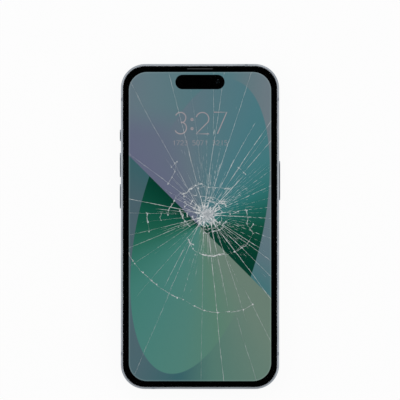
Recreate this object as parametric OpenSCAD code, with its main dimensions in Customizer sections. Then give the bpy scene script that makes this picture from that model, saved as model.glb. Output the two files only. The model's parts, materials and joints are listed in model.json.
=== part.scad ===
// Slab phone with a shattered front glass, lying on its back glass with the screen up.
// +X is to the right of the screen, +Y towards the earpiece, +Z out of the screen.
// The origin is the centre of the back glass's outer face.

/* [Body] */
// Width across the side rails, without the keys
body_w = 71.6; // [66:0.1:86]
// Length from the bottom rail to the top rail
body_l = 147; // [140:0.5:177]
// Thickness from the back glass to the front glass
body_t = 7.8; // [7.4:0.1:9.4]
// Outline radius of the rails at the four corners
corner_r = 11; // [10:0.5:13]
// Width of the metal rim that shows beside the glass
rim_w = 1; // [0.8:0.05:1.4]
// Thickness of the rail wall
rail_w = 2.2; // [2:0.05:2.7]
// Rounding of the rail's long outer edges
edge_r = 0.9; // [0.4:0.05:1]
// Thickness of the web that joins the rails behind the display
web_t = 0.6; // [0.4:0.05:0.8]
// Width of the plastic antenna bands in the rails
band_w = 1.4; // [0.8:0.1:2]

/* [Glass and display] */
// Thickness of the front glass
glass_t = 0.8; // [0.5:0.05:1]
// Thickness of the back glass
back_t = 0.7; // [0.5:0.05:0.9]
// How far each glass stands proud of the rail's rim
proud = 0.22; // [0:0.02:0.3]
// Thickness of the display panel
panel_t = 0.7; // [0.4:0.05:0.9]
// Thickness of the steel plate behind the panel
plate_t = 0.3; // [0.2:0.05:0.4]
// Width of the plastic ring that carries the glass
ring_w = 1.7; // [1.3:0.1:2.2]
// Length of the pill-shaped window for the front sensors
pill_w = 22.3; // [18:0.1:26]
// Height of the pill-shaped window
pill_h = 6.5; // [5.5:0.1:7.5]
// Distance from the top rail to the middle of the pill
pill_down = 8.1; // [7:0.1:10]
// Length of the earpiece slot
ear_slot = 11.8; // [8:0.1:14]

/* [Cracks] */
// Where the blow landed, right of the middle
impact_x = 3.3; // [-8:0.1:8]
// Where the blow landed, above the middle
impact_y = 5.3; // [-15:0.1:15]
// Widest opening of a crack
crack_w = 0.1; // [0.06:0.01:0.16]
// Radius of the crushed glass round the blow
crush_r = 4.3; // [3.5:0.1:5]

/* [Keys and card tray] */
// How far a key stands out of the rail
key_out = 0.5; // [0.3:0.05:0.7]
// How far a key travels when it is pressed
key_travel = 0.3; // [0.2:0.05:0.3]
// Height of a key across the rail
key_h = 2.6; // [2.2:0.1:3]
// Running gap round a key and the card tray
key_gap = 0.1; // [0.08:0.01:0.15]
// Length of each volume key
volume_len = 11; // [8:0.5:13]
// Length of the small key above them
action_len = 5.2; // [4.2:0.2:7]
// Length of the power key
power_len = 17.7; // [14:0.5:21]
// How much longer the card tray's face is than its carrier
tray_more = 1.5; // [1.2:0.1:2.5]

/* [Cameras] */
// Outer diameter of a rear lens bezel
bezel_d = 15.6; // [13.5:0.1:16.5]
// Glass left between the two lens bezels' flanges
lens_gap = 1; // [0.6:0.1:2]
// Diameter of the flash's diffuser
flash_d = 5.6; // [4:0.1:6.5]

/* [Bottom rail] */
// Width of the socket's steel shell
usb_w = 8.94; // [8.94:0.01:9]
// Height of the socket's steel shell
usb_h = 3.26; // [3.26:0.01:3.3]
// Sound holes on each side of the socket
sound_holes = 5; // [3:1:5]
// Diameter of a sound hole
sound_d = 1.2; // [0.8:0.1:1.5]

/* [Hidden] */
$fn = 64;
eps = 0.02;

// Levels through the thickness, from the back glass up
edge_round = min(edge_r, rim_w - 0.1);
rail_bottom = proud;
rail_top = body_t - proud;
z_glass = body_t - glass_t;
z_panel = z_glass - panel_t;
z_plate = z_panel - plate_t;
web_air = 0.25;
z_shelf = z_plate - web_air;
z_web = z_shelf - web_t;
z_mid = body_t / 2;

// The outlines, from the outside in
half_w = body_w / 2;
half_l = body_l / 2;
fit_gap = 0.05;
glass_w = body_w - 2 * (rim_w + fit_gap);
glass_l = body_l - 2 * (rim_w + fit_gap);
glass_r = corner_r - rim_w - fit_gap;
cavity_x = half_w - rail_w;
cavity_y = half_l - rail_w;
cavity_r = corner_r - rail_w;

// Places of the antenna bands, from the corners they sit beside
band_depth = 1.2;
band_side = half_l - 16;
band_end = half_w - 14.8;

// Places of the keys, down from the top rail
action_y = half_l - 32.2;
volume_up_y = half_l - 45.6;
volume_down_y = half_l - 59.8;
power_y = half_l - 52.7;
tray_y = half_l - 82.5;
flange_t = 0.45;
flange_h = 2;
flange_more = 0.8;
switch_gap = key_travel + fit_gap;
switch_x = cavity_x - fit_gap - flange_t - switch_gap;
switch_d = 2.4;
switch_h = 0.85;
switch_z = z_web - fit_gap - switch_d / 2;
key_flex_t = 0.25;

// Card tray and reader, round a card of the smallest standard size
card_x = 8.9;
card_y = 12.4;
carrier_t = 1;
carrier_x = card_x + 1.5;
carrier_y = card_y + 1.5;
tray_len = carrier_y + tray_more;
tray_face_t = rail_w - 0.3;
reader_wall = 0.8;
reader_gap = 0.2;
reader_half = carrier_y / 2 + reader_gap + reader_wall;

// The pill and what looks through it
pill_y = half_l - pill_down;
front_lens_x = pill_w / 2 - 3.05;
sensor_x = -pill_w / 2 + 3.05;
bracket_x0 = sensor_x - 3.8;
bracket_x1 = front_lens_x + 6;
ear_y = half_l - 2.2;
ear_h = 0.5;
ear_duct_w = ear_slot - 1.8;

// Rear cameras, in from the right rail and down from the top rail
bezel_hole_d = bezel_d - 3;
flange_d = bezel_d + 1.4;
bezel_under = 0.5;
lens_x = half_w - 13.3;
main_lens_y = half_l - 14;
wide_lens_y = main_lens_y - flange_d - lens_gap;
flash_x = lens_x - flange_d / 2 - flash_d / 2 + 0.3;
flash_y = (main_lens_y + wide_lens_y) / 2;
camera_size = 13;
z_bracket = back_t + bezel_under + 0.1;
bracket_t = 0.3;
post_d = 3.2;
post_gap = 0.5;
screw_d = 1.1;
screw_hole = 1.2;
screw_pan_d = 2.4;
screw_pan_t = 0.4;
side_post = [lens_x + 8.6, flash_y];
low_post = [lens_x - flange_d / 2 - screw_pan_d / 2 - 0.4, wide_lens_y];

// The logic board stands along the left rail
board_t = 0.8;
board_top = z_web - post_gap;
board_under = board_top - board_t;
board_x0 = -cavity_x + 2.3;
board_x1 = bracket_x0 - 0.4;
board_y0 = tray_y + reader_half + 1.55;
board_y1 = half_l - 7.5;
board_posts = [
    [board_x0 + 2.2, board_y1 - 2.4],
    [board_x1 - 2.2, board_y1 - 2.4],
    [board_x0 + 2.2, board_y0 + 2.4]
];
can_z0 = back_t + 0.8;
can_wall = 0.2;
can_gap = 4;

// The battery fills the right side and the middle
battery_x0 = board_x1 + 1.2;
battery_x1 = cavity_x - 2.6;
battery_y0 = -half_l + 20.5;
battery_y1 = wide_lens_y - camera_size / 2 - 4;
battery_step = tray_y - reader_half - 2.05;
battery_z1 = z_web - 0.25;

// Charging coil and magnets behind the battery
coil_y = -4;
coil_t = 0.35;
ferrite_t = 0.2;
battery_z0 = back_t + coil_t + ferrite_t + fit_gap;

// Bottom end
inner_y = -cavity_y;
sound_x0 = 9.4;
sound_pitch = 1.9;
sound_x1 = sound_x0 + (sound_holes - 1) * sound_pitch;
bottom_screw_x = 7;
screw_head_d = 1.8;
screw_head_t = 0.6;
mesh_t = 0.2;
dock_t = 0.2;
dock_arm_x = board_x1 - 4.2;
dock_arm_w = 4;
haptic_w = 21.5;
haptic_l = 11;
speaker_l = 14;
nozzle_top = min(z_mid + 1.2, z_web);
module_z0 = battery_z0 + 0.1;
usb_depth = 8.5;
usb_wall = 0.3;

// The main radial cracks, as [direction in degrees, lean, inner radius, outer radius];
// lean is how far, in mm, a crack passes beside the blow, and an outer radius of
// past_edge runs off the glass.
past_edge = 110;
radials = [
    [7.2, 0, 4, past_edge], [24.6, 0, 4, past_edge], [34.9, 0, 4, past_edge],
    [47.2, 0, 4, 25.1], [49.3, 0, 25.1, past_edge], [55.7, 0.2, 14, past_edge],
    [61.8, 0.8, 9, 47], [71.8, 1.1, 4, past_edge], [81.4, 1.9, 4, past_edge],
    [88.6, -1.6, 36, past_edge], [97, 0.3, 13, 57], [104.3, 1, 4, past_edge],
    [118.6, 2, 4, past_edge], [133, 0, 13, 24], [142.6, -0.6, 4, past_edge],
    [152.5, 0, 4, 17], [168.3, 0, 4, past_edge], [178.4, 0, 11, past_edge],
    [193.6, 0.65, 4, past_edge], [203, 0, 10, past_edge], [213.6, 0, 4, past_edge],
    [229, 0, 4, 52], [243, -2.5, 14, 39], [247, -2, 4, past_edge], [253, 0, 18, 40],
    [269, -1.6, 4, past_edge], [275.6, 0, 8, past_edge], [281.3, 0.9, 4, 45],
    [286.3, 0, 44, past_edge], [288.2, 1.9, 4, 53], [296.6, 0, 36, past_edge],
    [307.2, 0, 4, past_edge], [316, 0, 8, past_edge], [324.2, 0, 4, past_edge],
    [339.8, 0, 9, past_edge], [356.9, 0, 4, past_edge]
];
// Cracks that run round the blow, each as [direction, radius] corners
rings = [
    [[206, 39.5], [214, 39.5], [222, 39], [230, 38.8], [247, 39.6], [254, 39.8], [268, 43.2],
     [277, 44.4], [283, 44.8], [291, 45.8], [297, 45.4]],
    [[228.5, 13.7], [247, 16.6], [268, 18], [283, 18.6], [291, 18.8], [307, 20.9], [324, 22.3],
     [338, 22.5], [347, 18.6], [356, 18.4], [367.6, 17.5]],
    [[140, 15.5], [157, 16.2], [169, 17.2], [180, 17.8]],
    [[168, 12.6], [180, 11.8], [196, 10.6], [214, 9.4]],
    [[178, 27.5], [187, 27], [196, 27.4]],
    [[105, 14.8], [120, 13.8], [133, 13.6], [142, 13.4]],
    [[120, 27.6], [127, 24.4], [133, 23.2], [142, 22.6]],
    [[24, 9.2], [35, 9.4], [49, 8.2], [73, 7.8], [87, 7.9], [111, 8.6]],
    [[47, 15.6], [56, 14.2], [73, 12.6], [87, 12.4], [97, 12.8], [109, 12.7]],
    [[46.5, 25.1], [49.5, 25.2], [57, 25.6]],
    [[258, 8.4], [291, 8], [307, 8.6], [324, 9.2], [340, 9]]
];

// A crack wanders a little from side to side as it runs out, and may lean.
function wander(a, r) = (0.14 + 0.1 * sin(a * 13)) * sin(r * 9 + a * 3);
function crack_at(a, r, lean = 0) = let (turn = a + wander(a, r) + lean / r * 180 / PI)
    [impact_x + r * cos(turn), impact_y + r * sin(turn)];
function ring_at(p) = crack_at(p[0], p[1]);
function unit(v) = v / norm(v);
function side(v) = [-v[1], v[0]];
function tangent(p, i) = unit(p[min(i + 1, len(p) - 1)] - p[max(i - 1, 0)]);
// A thin outline round the points p, widest at its first point and w0 to w1 wide
function strip(p, w0, w1) = let (n = len(p) - 1) concat(
    [for (i = [0:n]) p[i] + side(tangent(p, i)) * (w0 + (w1 - w0) * i / n) / 2],
    [for (i = [n:-1:0]) p[i] - side(tangent(p, i)) * (w0 + (w1 - w0) * i / n) / 2]
);
function steps(r0, r1) = max(2, round((min(r1, 80) - r0) / 12));
function radial_path(c) = let (n = steps(c[2], c[3]))
    [for (i = [0:n]) crack_at(c[0], c[2] + (c[3] - c[2]) * i / n, c[1])];

module stadium(len, h) {
    square([len - h, h], center = true);
    for (s = [-1, 1]) translate([s * (len - h) / 2, 0]) circle(d = h);
}

module rounded_rect(w, l, r) {
    square([w - 2 * r, l], center = true);
    square([w, l - 2 * r], center = true);
    for (x = [-1, 1], y = [-1, 1])
        translate([x * (w / 2 - r), y * (l / 2 - r)]) circle(r = r);
}

module plate(w, l, r, z0, z1) {
    translate([0, 0, z0]) linear_extrude(z1 - z0) rounded_rect(w, l, r);
}

module box(x0, x1, y0, y1, z0, z1) {
    translate([x0, y0, z0]) cube([x1 - x0, y1 - y0, z1 - z0]);
}

// A prism along X whose section is a stadium lying along Y
module side_stadium(x0, x1, y, len, h) {
    translate([x0, y, z_mid]) rotate([90, 0, 90]) linear_extrude(x1 - x0) stadium(len, h);
}

module corner_cut(r) {
    difference() {
        square(r);
        circle(r = r);
    }
}

// Section of the rail: x is the radius at a corner, y the height
module rail_section() {
    difference() {
        translate([cavity_r, rail_bottom]) square([rail_w, rail_top - rail_bottom]);
        translate([cavity_r - 1, z_shelf]) square([rail_w - rim_w + 1, body_t]);
        translate([cavity_r - 1, -1]) square([rail_w - rim_w + 1, 1 + back_t]);
        translate([corner_r - edge_round, rail_top - edge_round]) corner_cut(edge_round);
        translate([corner_r - edge_round, rail_bottom + edge_round]) mirror([0, 1])
            corner_cut(edge_round);
    }
}

module band_section() {
    intersection() {
        rail_section();
        translate([corner_r - band_depth, 0]) square([band_depth, body_t]);
    }
}

// Carries a section along a straight rail: turn 0 is right, 90 top, 180 left, 270 bottom
module along_rail(turn, at, length) {
    across = turn % 180 == 0;
    rotate([0, 0, turn])
        translate([(across ? half_w : half_l) - corner_r, at, 0])
            rotate([90, 0, 0]) translate([0, 0, -length / 2]) linear_extrude(length) children();
}

module rail_ring() {
    for (turn = [0, 180]) along_rail(turn, 0, body_l - 2 * corner_r) rail_section();
    for (turn = [90, 270]) along_rail(turn, 0, body_w - 2 * corner_r) rail_section();
    for (x = [0, 1], y = [0, 1]) mirror([x, 0, 0]) mirror([0, y, 0])
        translate([half_w - corner_r, half_l - corner_r, 0])
            rotate_extrude(angle = 90) rail_section();
}

module web() {
    difference() {
        plate(body_w - 2 * rail_w + 1, body_l - 2 * rail_w + 1, cavity_r + 0.5, z_web, z_shelf);
        // window for the front camera and the sensor
        box(-pill_w / 2 - 0.4, pill_w / 2 + 0.4, pill_y - pill_h / 2 - 0.45,
            pill_y + pill_h / 2 + 0.45, 0, body_t);
        // notch over the socket
        box(-usb_w / 2 - 0.7, usb_w / 2 + 0.7, -body_l, inner_y + 9, 0, body_t);
        // way for the earpiece's sound, and slot for the display's flex
        box(-ear_duct_w / 2, ear_duct_w / 2, ear_y - 1.8, ear_y - fit_gap, 0, body_t);
        display_flex_slot();
    }
}

module post(at, z0) {
    translate([at[0], at[1], z0]) cylinder(d = post_d, h = z_web - z0 + 0.1);
}

module post_hole(at, z0) {
    translate([at[0], at[1], z0 - 1]) cylinder(d = screw_hole, h = z_web + 0.3 - z0 + 1);
}

// ---- The rails, their web and the antenna bands ----
module frame() {
    color("lightsteelblue") difference() {
        union() {
            rail_ring();
            web();
            for (p = board_posts) post(p, board_top);
            for (p = [side_post, low_post]) post(p, z_bracket + bracket_t);
        }
        for (p = board_posts) post_hole(p, board_top);
        for (p = [side_post, low_post]) post_hole(p, z_bracket + bracket_t);
        key_slot(-1, action_y, action_len);
        key_slot(-1, volume_up_y, volume_len);
        key_slot(-1, volume_down_y, volume_len);
        key_slot(1, power_y, power_len);
        side_stadium(-half_w - 1, -cavity_x + 1, tray_y, tray_len + 2 * key_gap, key_h);
        for (s = [-1, 1]) {
            along_rail(90 - 90 * s, band_side, band_w) band_slot();
            along_rail(90 - 90 * s, -band_side, band_w) band_slot();
        }
        along_rail(90, -band_end, band_w) band_slot();
        along_rail(270, -band_end, band_w) band_slot();
        bottom_holes();
    }
}

module band_slot() {
    translate([corner_r - band_depth, 0]) square([band_depth + 1, body_t]);
}

module antenna_band(turn, at) {
    color("slategray") along_rail(turn, at, band_w) band_section();
}

module key_slot(s, y, len) {
    x0 = s > 0 ? cavity_x - 1 : -half_w - 1;
    side_stadium(x0, x0 + rail_w + 2, y, len + 2 * key_gap, key_h + 2 * key_gap);
}

module bottom_holes() {
    translate([0, -half_l - 1, z_mid]) rotate([-90, 0, 0])
        linear_extrude(rail_w + 2) stadium(usb_w + 2 * key_gap, usb_h + 2 * key_gap);
    for (s = [-1, 1]) {
        for (i = [0:sound_holes - 1])
            hole_along_y(s * (sound_x0 + i * sound_pitch), sound_d, -half_l - 1, rail_w + 2);
        hole_along_y(s * bottom_screw_x, screw_head_d + 0.1, -half_l - 1, 1 + 0.1 + screw_head_t);
        hole_along_y(s * bottom_screw_x, screw_hole, -half_l - 1, rail_w + 2);
    }
}

module hole_along_y(x, d, y0, depth) {
    translate([x, y0, z_mid]) rotate([-90, 0, 0]) cylinder(d = d, h = depth);
}

// ---- The shattered glass, cut right through by its cracks ----
module glass_outline() {
    difference() {
        rounded_rect(glass_w, glass_l, glass_r);
        translate([0, ear_y]) stadium(ear_slot, ear_h);
    }
}

module crack_pattern() {
    for (c = radials)
        polygon(strip(radial_path(c), crack_w, c[3] < past_edge ? 0.01 : crack_w * 0.6));
    for (g = rings)
        polygon(strip([for (p = g) ring_at(p)], crack_w * 0.7, crack_w * 0.7));
    // the crushed spot: a ring of small wedges
    polygon(strip([for (i = [0:24]) crack_at(i * 15, crush_r * (1 + 0.08 * sin(i * 105)))],
        crack_w, crack_w));
    for (a = [15:30:345])
        polygon(strip([crack_at(a, 0.5), crack_at(a, crush_r * 0.6), crack_at(a, crush_r + 0.4)],
            crack_w, crack_w * 0.7));
}

module cover_glass() {
    color("darkcyan") difference() {
        translate([0, 0, z_glass]) linear_extrude(glass_t) glass_outline();
        translate([0, 0, z_glass - 0.5]) linear_extrude(glass_t + 1) crack_pattern();
    }
}

// ---- Display module ----
ring_out_w = glass_w - 0.1;
ring_out_l = glass_l - 0.1;
ring_in_w = ring_out_w - 2 * ring_w;
ring_in_l = ring_out_l - 2 * ring_w;
ring_in_r = glass_r - ring_w;
gasket_t = 0.1;

module display_ring() {
    color("black") difference() {
        plate(ring_out_w, ring_out_l, glass_r - 0.05, z_shelf + gasket_t, z_glass);
        plate(ring_in_w, ring_in_l, ring_in_r, 0, body_t);
        // way for the earpiece's sound
        box(-ear_duct_w / 2, ear_duct_w / 2, ear_y - 1.8, ear_y - fit_gap, 0, body_t);
    }
}

module display_gasket() {
    color("dimgray") difference() {
        plate(ring_out_w, ring_out_l, glass_r - 0.05, z_shelf, z_shelf + gasket_t);
        plate(ring_out_w - 1.8, ring_out_l - 1.8, glass_r - 0.95, 0, body_t);
    }
}

module panel_sheet(z0, z1) {
    difference() {
        plate(ring_in_w - 2 * fit_gap, ring_in_l - 2 * fit_gap, ring_in_r - fit_gap, z0, z1);
        translate([0, pill_y, z0 - 1]) linear_extrude(z1 - z0 + 2) stadium(pill_w, pill_h);
    }
}

module display_panel() {
    color("seagreen") panel_sheet(z_panel, z_glass);
}

module display_back_plate() {
    color("gray") panel_sheet(z_plate, z_panel);
}

flex_t = 0.12;
flex_w = 11;
flex_x = board_x0 + 3.5;
flex_y = half_l - 48.5;

module display_flex_slot() {
    box(flex_x - 0.5, flex_x + flex_w + 0.5, flex_y - 0.8, flex_y + 0.8, 0, body_t);
}

// A ribbon under the display that drops through the web to a plug on the board
module display_flex() {
    color("darkorange") {
        box(flex_x, flex_x + flex_w, flex_y - 14, flex_y, z_plate - flex_t, z_plate);
        box(flex_x, flex_x + flex_w, flex_y - flex_t, flex_y, board_top + 0.1, z_plate - flex_t);
        box(flex_x, flex_x + flex_w, flex_y - 1.6, flex_y + 1.6, board_top, board_top + 0.3);
    }
}

// ---- Behind the pill ----
front_z0 = 2;
front_bracket_t = 0.25;

module earpiece_mesh() {
    color("black") translate([0, ear_y, z_glass]) linear_extrude(glass_t - 0.15)
        stadium(ear_slot - 0.1, ear_h - 0.1);
}

module front_camera() {
    color("black") {
        translate([front_lens_x, pill_y, 0]) {
            box(-3.1, 3.1, -3.1, 3.1, front_z0, z_shelf - 0.15);
            translate([0, 0, z_shelf - 0.16]) cylinder(d = 4.6, h = z_glass - z_shelf + 0.06);
        }
    }
}

module proximity_sensor() {
    color("black") translate([sensor_x, pill_y, 0]) {
        box(-2.5, 2.5, -3, 3, front_z0, z_shelf - 0.15);
        for (y = [-1.4, 1.4])
            translate([0, y, z_shelf - 0.16]) cylinder(d = 2, h = z_glass - z_shelf - 0.04);
    }
}

module earpiece_speaker() {
    color("dimgray") box(-4.9, 4.2, pill_y - 3.8, pill_y + 3.8, front_z0, z_web - 0.05);
}

// A shallow steel channel that hangs from the web and carries the three modules
module front_module_bracket() {
    y0 = pill_y - 3.9;
    y1 = pill_y + 3.9;
    color("silver") {
        box(bracket_x0, bracket_x1, y0, y1, front_z0 - front_bracket_t, front_z0);
        for (x = [bracket_x0, bracket_x1 - front_bracket_t])
            box(x, x + front_bracket_t, y0, y1, front_z0 - 0.1, z_web);
    }
}

// ---- Back glass and rear cameras ----
module back_glass() {
    color("lightsteelblue") difference() {
        plate(glass_w, glass_l, glass_r, 0, back_t);
        for (y = [main_lens_y, wide_lens_y])
            translate([lens_x, y, -1]) cylinder(d = bezel_d + 0.1, h = 3);
        translate([flash_x, flash_y, -1]) cylinder(d = flash_d + 0.1, h = 3);
    }
}

// A turned ring with a flange that bonds to the inside of the back glass
module lens_bezel(y) {
    color("lightsteelblue") translate([lens_x, y, 0]) difference() {
        union() {
            cylinder(d = bezel_d, h = back_t + bezel_under);
            translate([0, 0, back_t]) cylinder(d = flange_d, h = bezel_under);
        }
        translate([0, 0, -1]) cylinder(d = bezel_hole_d, h = back_t + 1);
        cylinder(d = bezel_hole_d - 1.4, h = 5);
    }
}

module lens_window(y) {
    color("black") translate([lens_x, y, 0.05])
        cylinder(d = bezel_hole_d - 0.1, h = back_t - 0.05);
}

module flash_diffuser() {
    color("ivory") translate([flash_x, flash_y, 0]) cylinder(d = flash_d, h = back_t);
}

module flash_led() {
    color("gold") box(flash_x - 1.6, flash_x + 1.6, flash_y - 1.6, flash_y + 1.6,
        back_t + 0.1, z_bracket);
}

module rear_camera(y, barrel_d) {
    c = camera_size / 2;
    color("black") translate([lens_x, y, 0]) {
        box(-c, c, -c, c, z_bracket + bracket_t, z_web);
        translate([0, 0, back_t + 0.1]) cylinder(d = barrel_d, h = z_bracket + bracket_t - back_t);
    }
}

module camera_bracket() {
    color("silver") difference() {
        union() {
            box(lens_x - 7.6, lens_x + 7.4, wide_lens_y - 7.4, main_lens_y + 6.8,
                z_bracket, z_bracket + bracket_t);
            box(flash_x - 2.8, lens_x, flash_y - 2.6, flash_y + 2.6,
                z_bracket, z_bracket + bracket_t);
            box(low_post[0], lens_x, low_post[1] - 1.6, low_post[1] + 1.6,
                z_bracket, z_bracket + bracket_t);
            for (p = [side_post, low_post]) translate([p[0], p[1], z_bracket])
                cylinder(d = post_d, h = bracket_t);
        }
        for (y = [main_lens_y, wide_lens_y])
            translate([lens_x, y, 0]) cylinder(d = 10.4, h = 5);
        for (p = [side_post, low_post]) translate([p[0], p[1], 0])
            cylinder(d = screw_hole, h = 5);
    }
}

// A pan-head screw with a cross recess, driven up from z0
module small_screw(at, z0, under_head) {
    translate([at[0], at[1], z0]) difference() {
        union() {
            cylinder(d = screw_pan_d, h = screw_pan_t);
            cylinder(d = screw_d, h = screw_pan_t + under_head);
        }
        for (a = [0, 90]) rotate([0, 0, a]) translate([-0.6, -0.15, -1]) cube([1.2, 0.3, 1.25]);
    }
}

module camera_bracket_screws() {
    color("gray") for (p = [side_post, low_post]) 
        small_screw(p, z_bracket - screw_pan_t, 2.4);
}

// ---- Logic board ----
module logic_board() {
    color("darkgreen") {
        difference() {
            box(board_x0, board_x1, board_y0, board_y1, board_under, board_top);
            for (p = board_posts) translate([p[0], p[1], 0]) cylinder(d = 1.5, h = body_t);
        }
        for (c = [upper_can, lower_can]) {
            m = (c[2] + c[3]) / 2;
            box(c[0] + 2, c[1] - 2, m + 1.5, m + 10.5, board_under - 0.9, board_under + 0.01);
            box(c[0] + 4, c[1] - 4, m - 9.5, m - 1.5, board_under - 0.7, board_under + 0.01);
        }
    }
}

can_x0 = board_x0 + 0.7;
can_x1 = board_x1 - 0.9;
can_len = (board_y1 - board_y0 - 8 - 2 * can_gap - 1.5) / 2;
lower_can = [can_x0, can_x1, board_y0 + can_gap + 1.5, board_y0 + can_gap + 1.5 + can_len];
upper_can = [can_x0, can_x1, lower_can[3] + can_gap, lower_can[3] + can_gap + can_len];

// A drawn lid, open towards the board
module shield_can(c) {
    w = can_wall;
    color("silver") difference() {
        box(c[0], c[1], c[2], c[3], can_z0, board_under);
        box(c[0] + w, c[1] - w, c[2] + w, c[3] - w, can_z0 + w, body_t);
    }
}

module board_screws() {
    color("gray") for (p = board_posts)
        small_screw(p, board_under - screw_pan_t, board_t + post_gap + 0.2);
}

// ---- Battery and charging coil ----
module battery() {
    color("dimgray") {
        box(battery_x0, battery_x1, battery_step - 1, battery_y1, battery_z0, battery_z1);
        box(-battery_x1, battery_x1, battery_y0, battery_step, battery_z0, battery_z1);
    }
}

module battery_flex() {
    y = board_y0 + 12;
    color("darkorange") {
        box(battery_x0 - 6.9, battery_x0, y, y + 6, board_top, board_top + 0.15);
        box(battery_x0 - 6.9, battery_x0 - 3.7, y - 0.5, y + 6.5, board_top, board_top + 0.35);
    }
}

module flat_ring(d0, d1, z0, z1) {
    translate([0, coil_y, z0]) difference() {
        cylinder(d = d1, h = z1 - z0);
        translate([0, 0, -1]) cylinder(d = d0, h = z1 - z0 + 2);
    }
}

module charging_coil() {
    color("peru") flat_ring(22, 44, back_t, back_t + coil_t);
}

module magnet_ring() {
    color("silver") flat_ring(49, 55, back_t, back_t + coil_t);
}

module coil_shield() {
    color("black") translate([0, coil_y, back_t + coil_t]) cylinder(d = 56, h = ferrite_t);
}

// ---- Bottom end ----
module haptic_motor() {
    x0 = -cavity_x + 2.6;
    y0 = inner_y + 5.3;
    color("gray") box(x0, x0 + haptic_w, y0, y0 + haptic_l, module_z0, z_web - 0.3);
}

module loudspeaker() {
    x0 = sound_x0 - 0.8;
    y0 = inner_y + 3.3;
    color("black") {
        box(x0, cavity_x - 3.1, y0, y0 + speaker_l, module_z0, z_web);
        box(x0, sound_x1 + 0.8, inner_y + mesh_t, y0 + 0.1, z_mid - 1.2, nozzle_top);
    }
}

module sound_mesh(s) {
    x = [sound_x0 - 1, sound_x1 + 1];
    color("black") box(s > 0 ? x[0] : -x[1], s > 0 ? x[1] : -x[0], inner_y, inner_y + mesh_t,
        z_mid - 1, z_mid + 1);
}

module bottom_microphone() {
    color("gold") box(-sound_x0 - 5.5, -sound_x0 - 1.5, inner_y + mesh_t, inner_y + 3.2,
        z_mid - 0.5, z_web - dock_t);
}

module dock_flex() {
    y0 = inner_y + 0.4;
    y1 = board_y0 + 9.5;
    z0 = z_web - dock_t;
    color("darkorange") {
        box(dock_arm_x, -usb_w / 2 - 0.2, y0, y0 + 4.8, z0, z_web);
        box(dock_arm_x, dock_arm_x + dock_arm_w, y0, y1, z0, z_web);
        box(dock_arm_x, dock_arm_x + dock_arm_w, y1 - 3, y1, board_top, z0 + 0.01);
    }
}

// The socket's drawn shell, open at the bottom rail, closed behind
module usb_shell() {
    y0 = -half_l + 0.2;
    color("silver") translate([0, y0, z_mid]) rotate([-90, 0, 0]) difference() {
        linear_extrude(usb_depth) stadium(usb_w, usb_h);
        translate([0, 0, -1]) linear_extrude(usb_depth - usb_wall + 1)
            stadium(usb_w - 2 * usb_wall, usb_h - 2 * usb_wall);
    }
}

module usb_tongue() {
    y1 = -half_l + 0.2 + usb_depth - usb_wall;
    color("black") {
        box(-3.35, 3.35, y1 - 6.2, y1 - 1, z_mid - 0.35, z_mid + 0.35);
        box(-3.7, 3.7, y1 - 1.2, y1, z_mid - 1, z_mid + 1);
    }
}

module bottom_screws() {
    color("silver") for (s = [-1, 1])
        translate([s * bottom_screw_x, -half_l + 0.1, z_mid]) rotate([-90, 0, 0]) difference() {
            union() {
                cylinder(d = screw_head_d, h = screw_head_t);
                cylinder(d = screw_d, h = rail_w - 0.2);
            }
            for (a = [0:60:120]) rotate([0, 0, a])
                translate([-0.5, -0.12, -1]) cube([1, 0.24, 1.3]);
        }
}

// ---- Keys: s is -1 on the left rail and 1 on the right ----
module key(s, y, len) {
    color("lightsteelblue") mirror([s < 0 ? 1 : 0, 0, 0]) {
        side_stadium(cavity_x - fit_gap - eps, half_w + key_out, y, len, key_h);
        translate([cavity_x - fit_gap - flange_t, y - len / 2 - flange_more, z_mid - flange_h / 2])
            cube([flange_t, len + 2 * flange_more, flange_h]);
    }
}

// A dome switch on the flex behind a key
module key_switch(s, y) {
    color("silver") mirror([s < 0 ? 1 : 0, 0, 0])
        translate([switch_x - switch_h, y, switch_z]) rotate([0, 90, 0])
            cylinder(d = switch_d, h = switch_h);
}

// The stiffened strip that holds the switches, hung from the web
module key_flex(s, y0, y1) {
    x1 = switch_x - switch_h;
    color("darkorange") mirror([s < 0 ? 1 : 0, 0, 0])
        box(x1 - key_flex_t, x1, y0, y1, 1.6, z_web);
}

// ---- Card tray and the reader that it slides into ----
module sim_tray() {
    x0 = -half_w + tray_face_t;
    color("lightsteelblue") difference() {
        union() {
            side_stadium(-half_w, x0, tray_y, tray_len, key_h - 2 * key_gap);
            box(x0 - 0.2, x0 + carrier_x, tray_y - carrier_y / 2, tray_y + carrier_y / 2,
                z_mid - carrier_t / 2, z_mid + carrier_t / 2);
        }
        // seat for a 12.3 x 8.8 mm card, and the window under it
        box(x0 + 0.6, x0 + 0.6 + card_x, tray_y - card_y / 2, tray_y + card_y / 2,
            z_mid - 0.2, z_mid + 1);
        box(x0 + 1.3, x0 - 0.1 + card_x, tray_y - card_y / 2 + 0.7, tray_y + card_y / 2 - 0.7,
            z_mid - 1, z_mid + 1);
        // hole for the ejector pin
        translate([-half_w - 1, tray_y - tray_len / 2 + 1.3, z_mid]) rotate([0, 90, 0])
            cylinder(d = 1, h = tray_face_t + 1);
    }
}

module sim_reader() {
    x0 = -cavity_x + 0.2;
    x1 = -half_w + tray_face_t + carrier_x + reader_gap;
    hy = reader_half - reader_wall;
    hz = carrier_t / 2 + 0.15;
    color("silver") difference() {
        box(x0, x1 + reader_wall, tray_y - reader_half, tray_y + reader_half,
            z_mid - hz - 0.45, z_web);
        box(x0 - 1, x1, tray_y - hy, tray_y + hy, z_mid - hz, z_mid + hz);
    }
}

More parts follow.
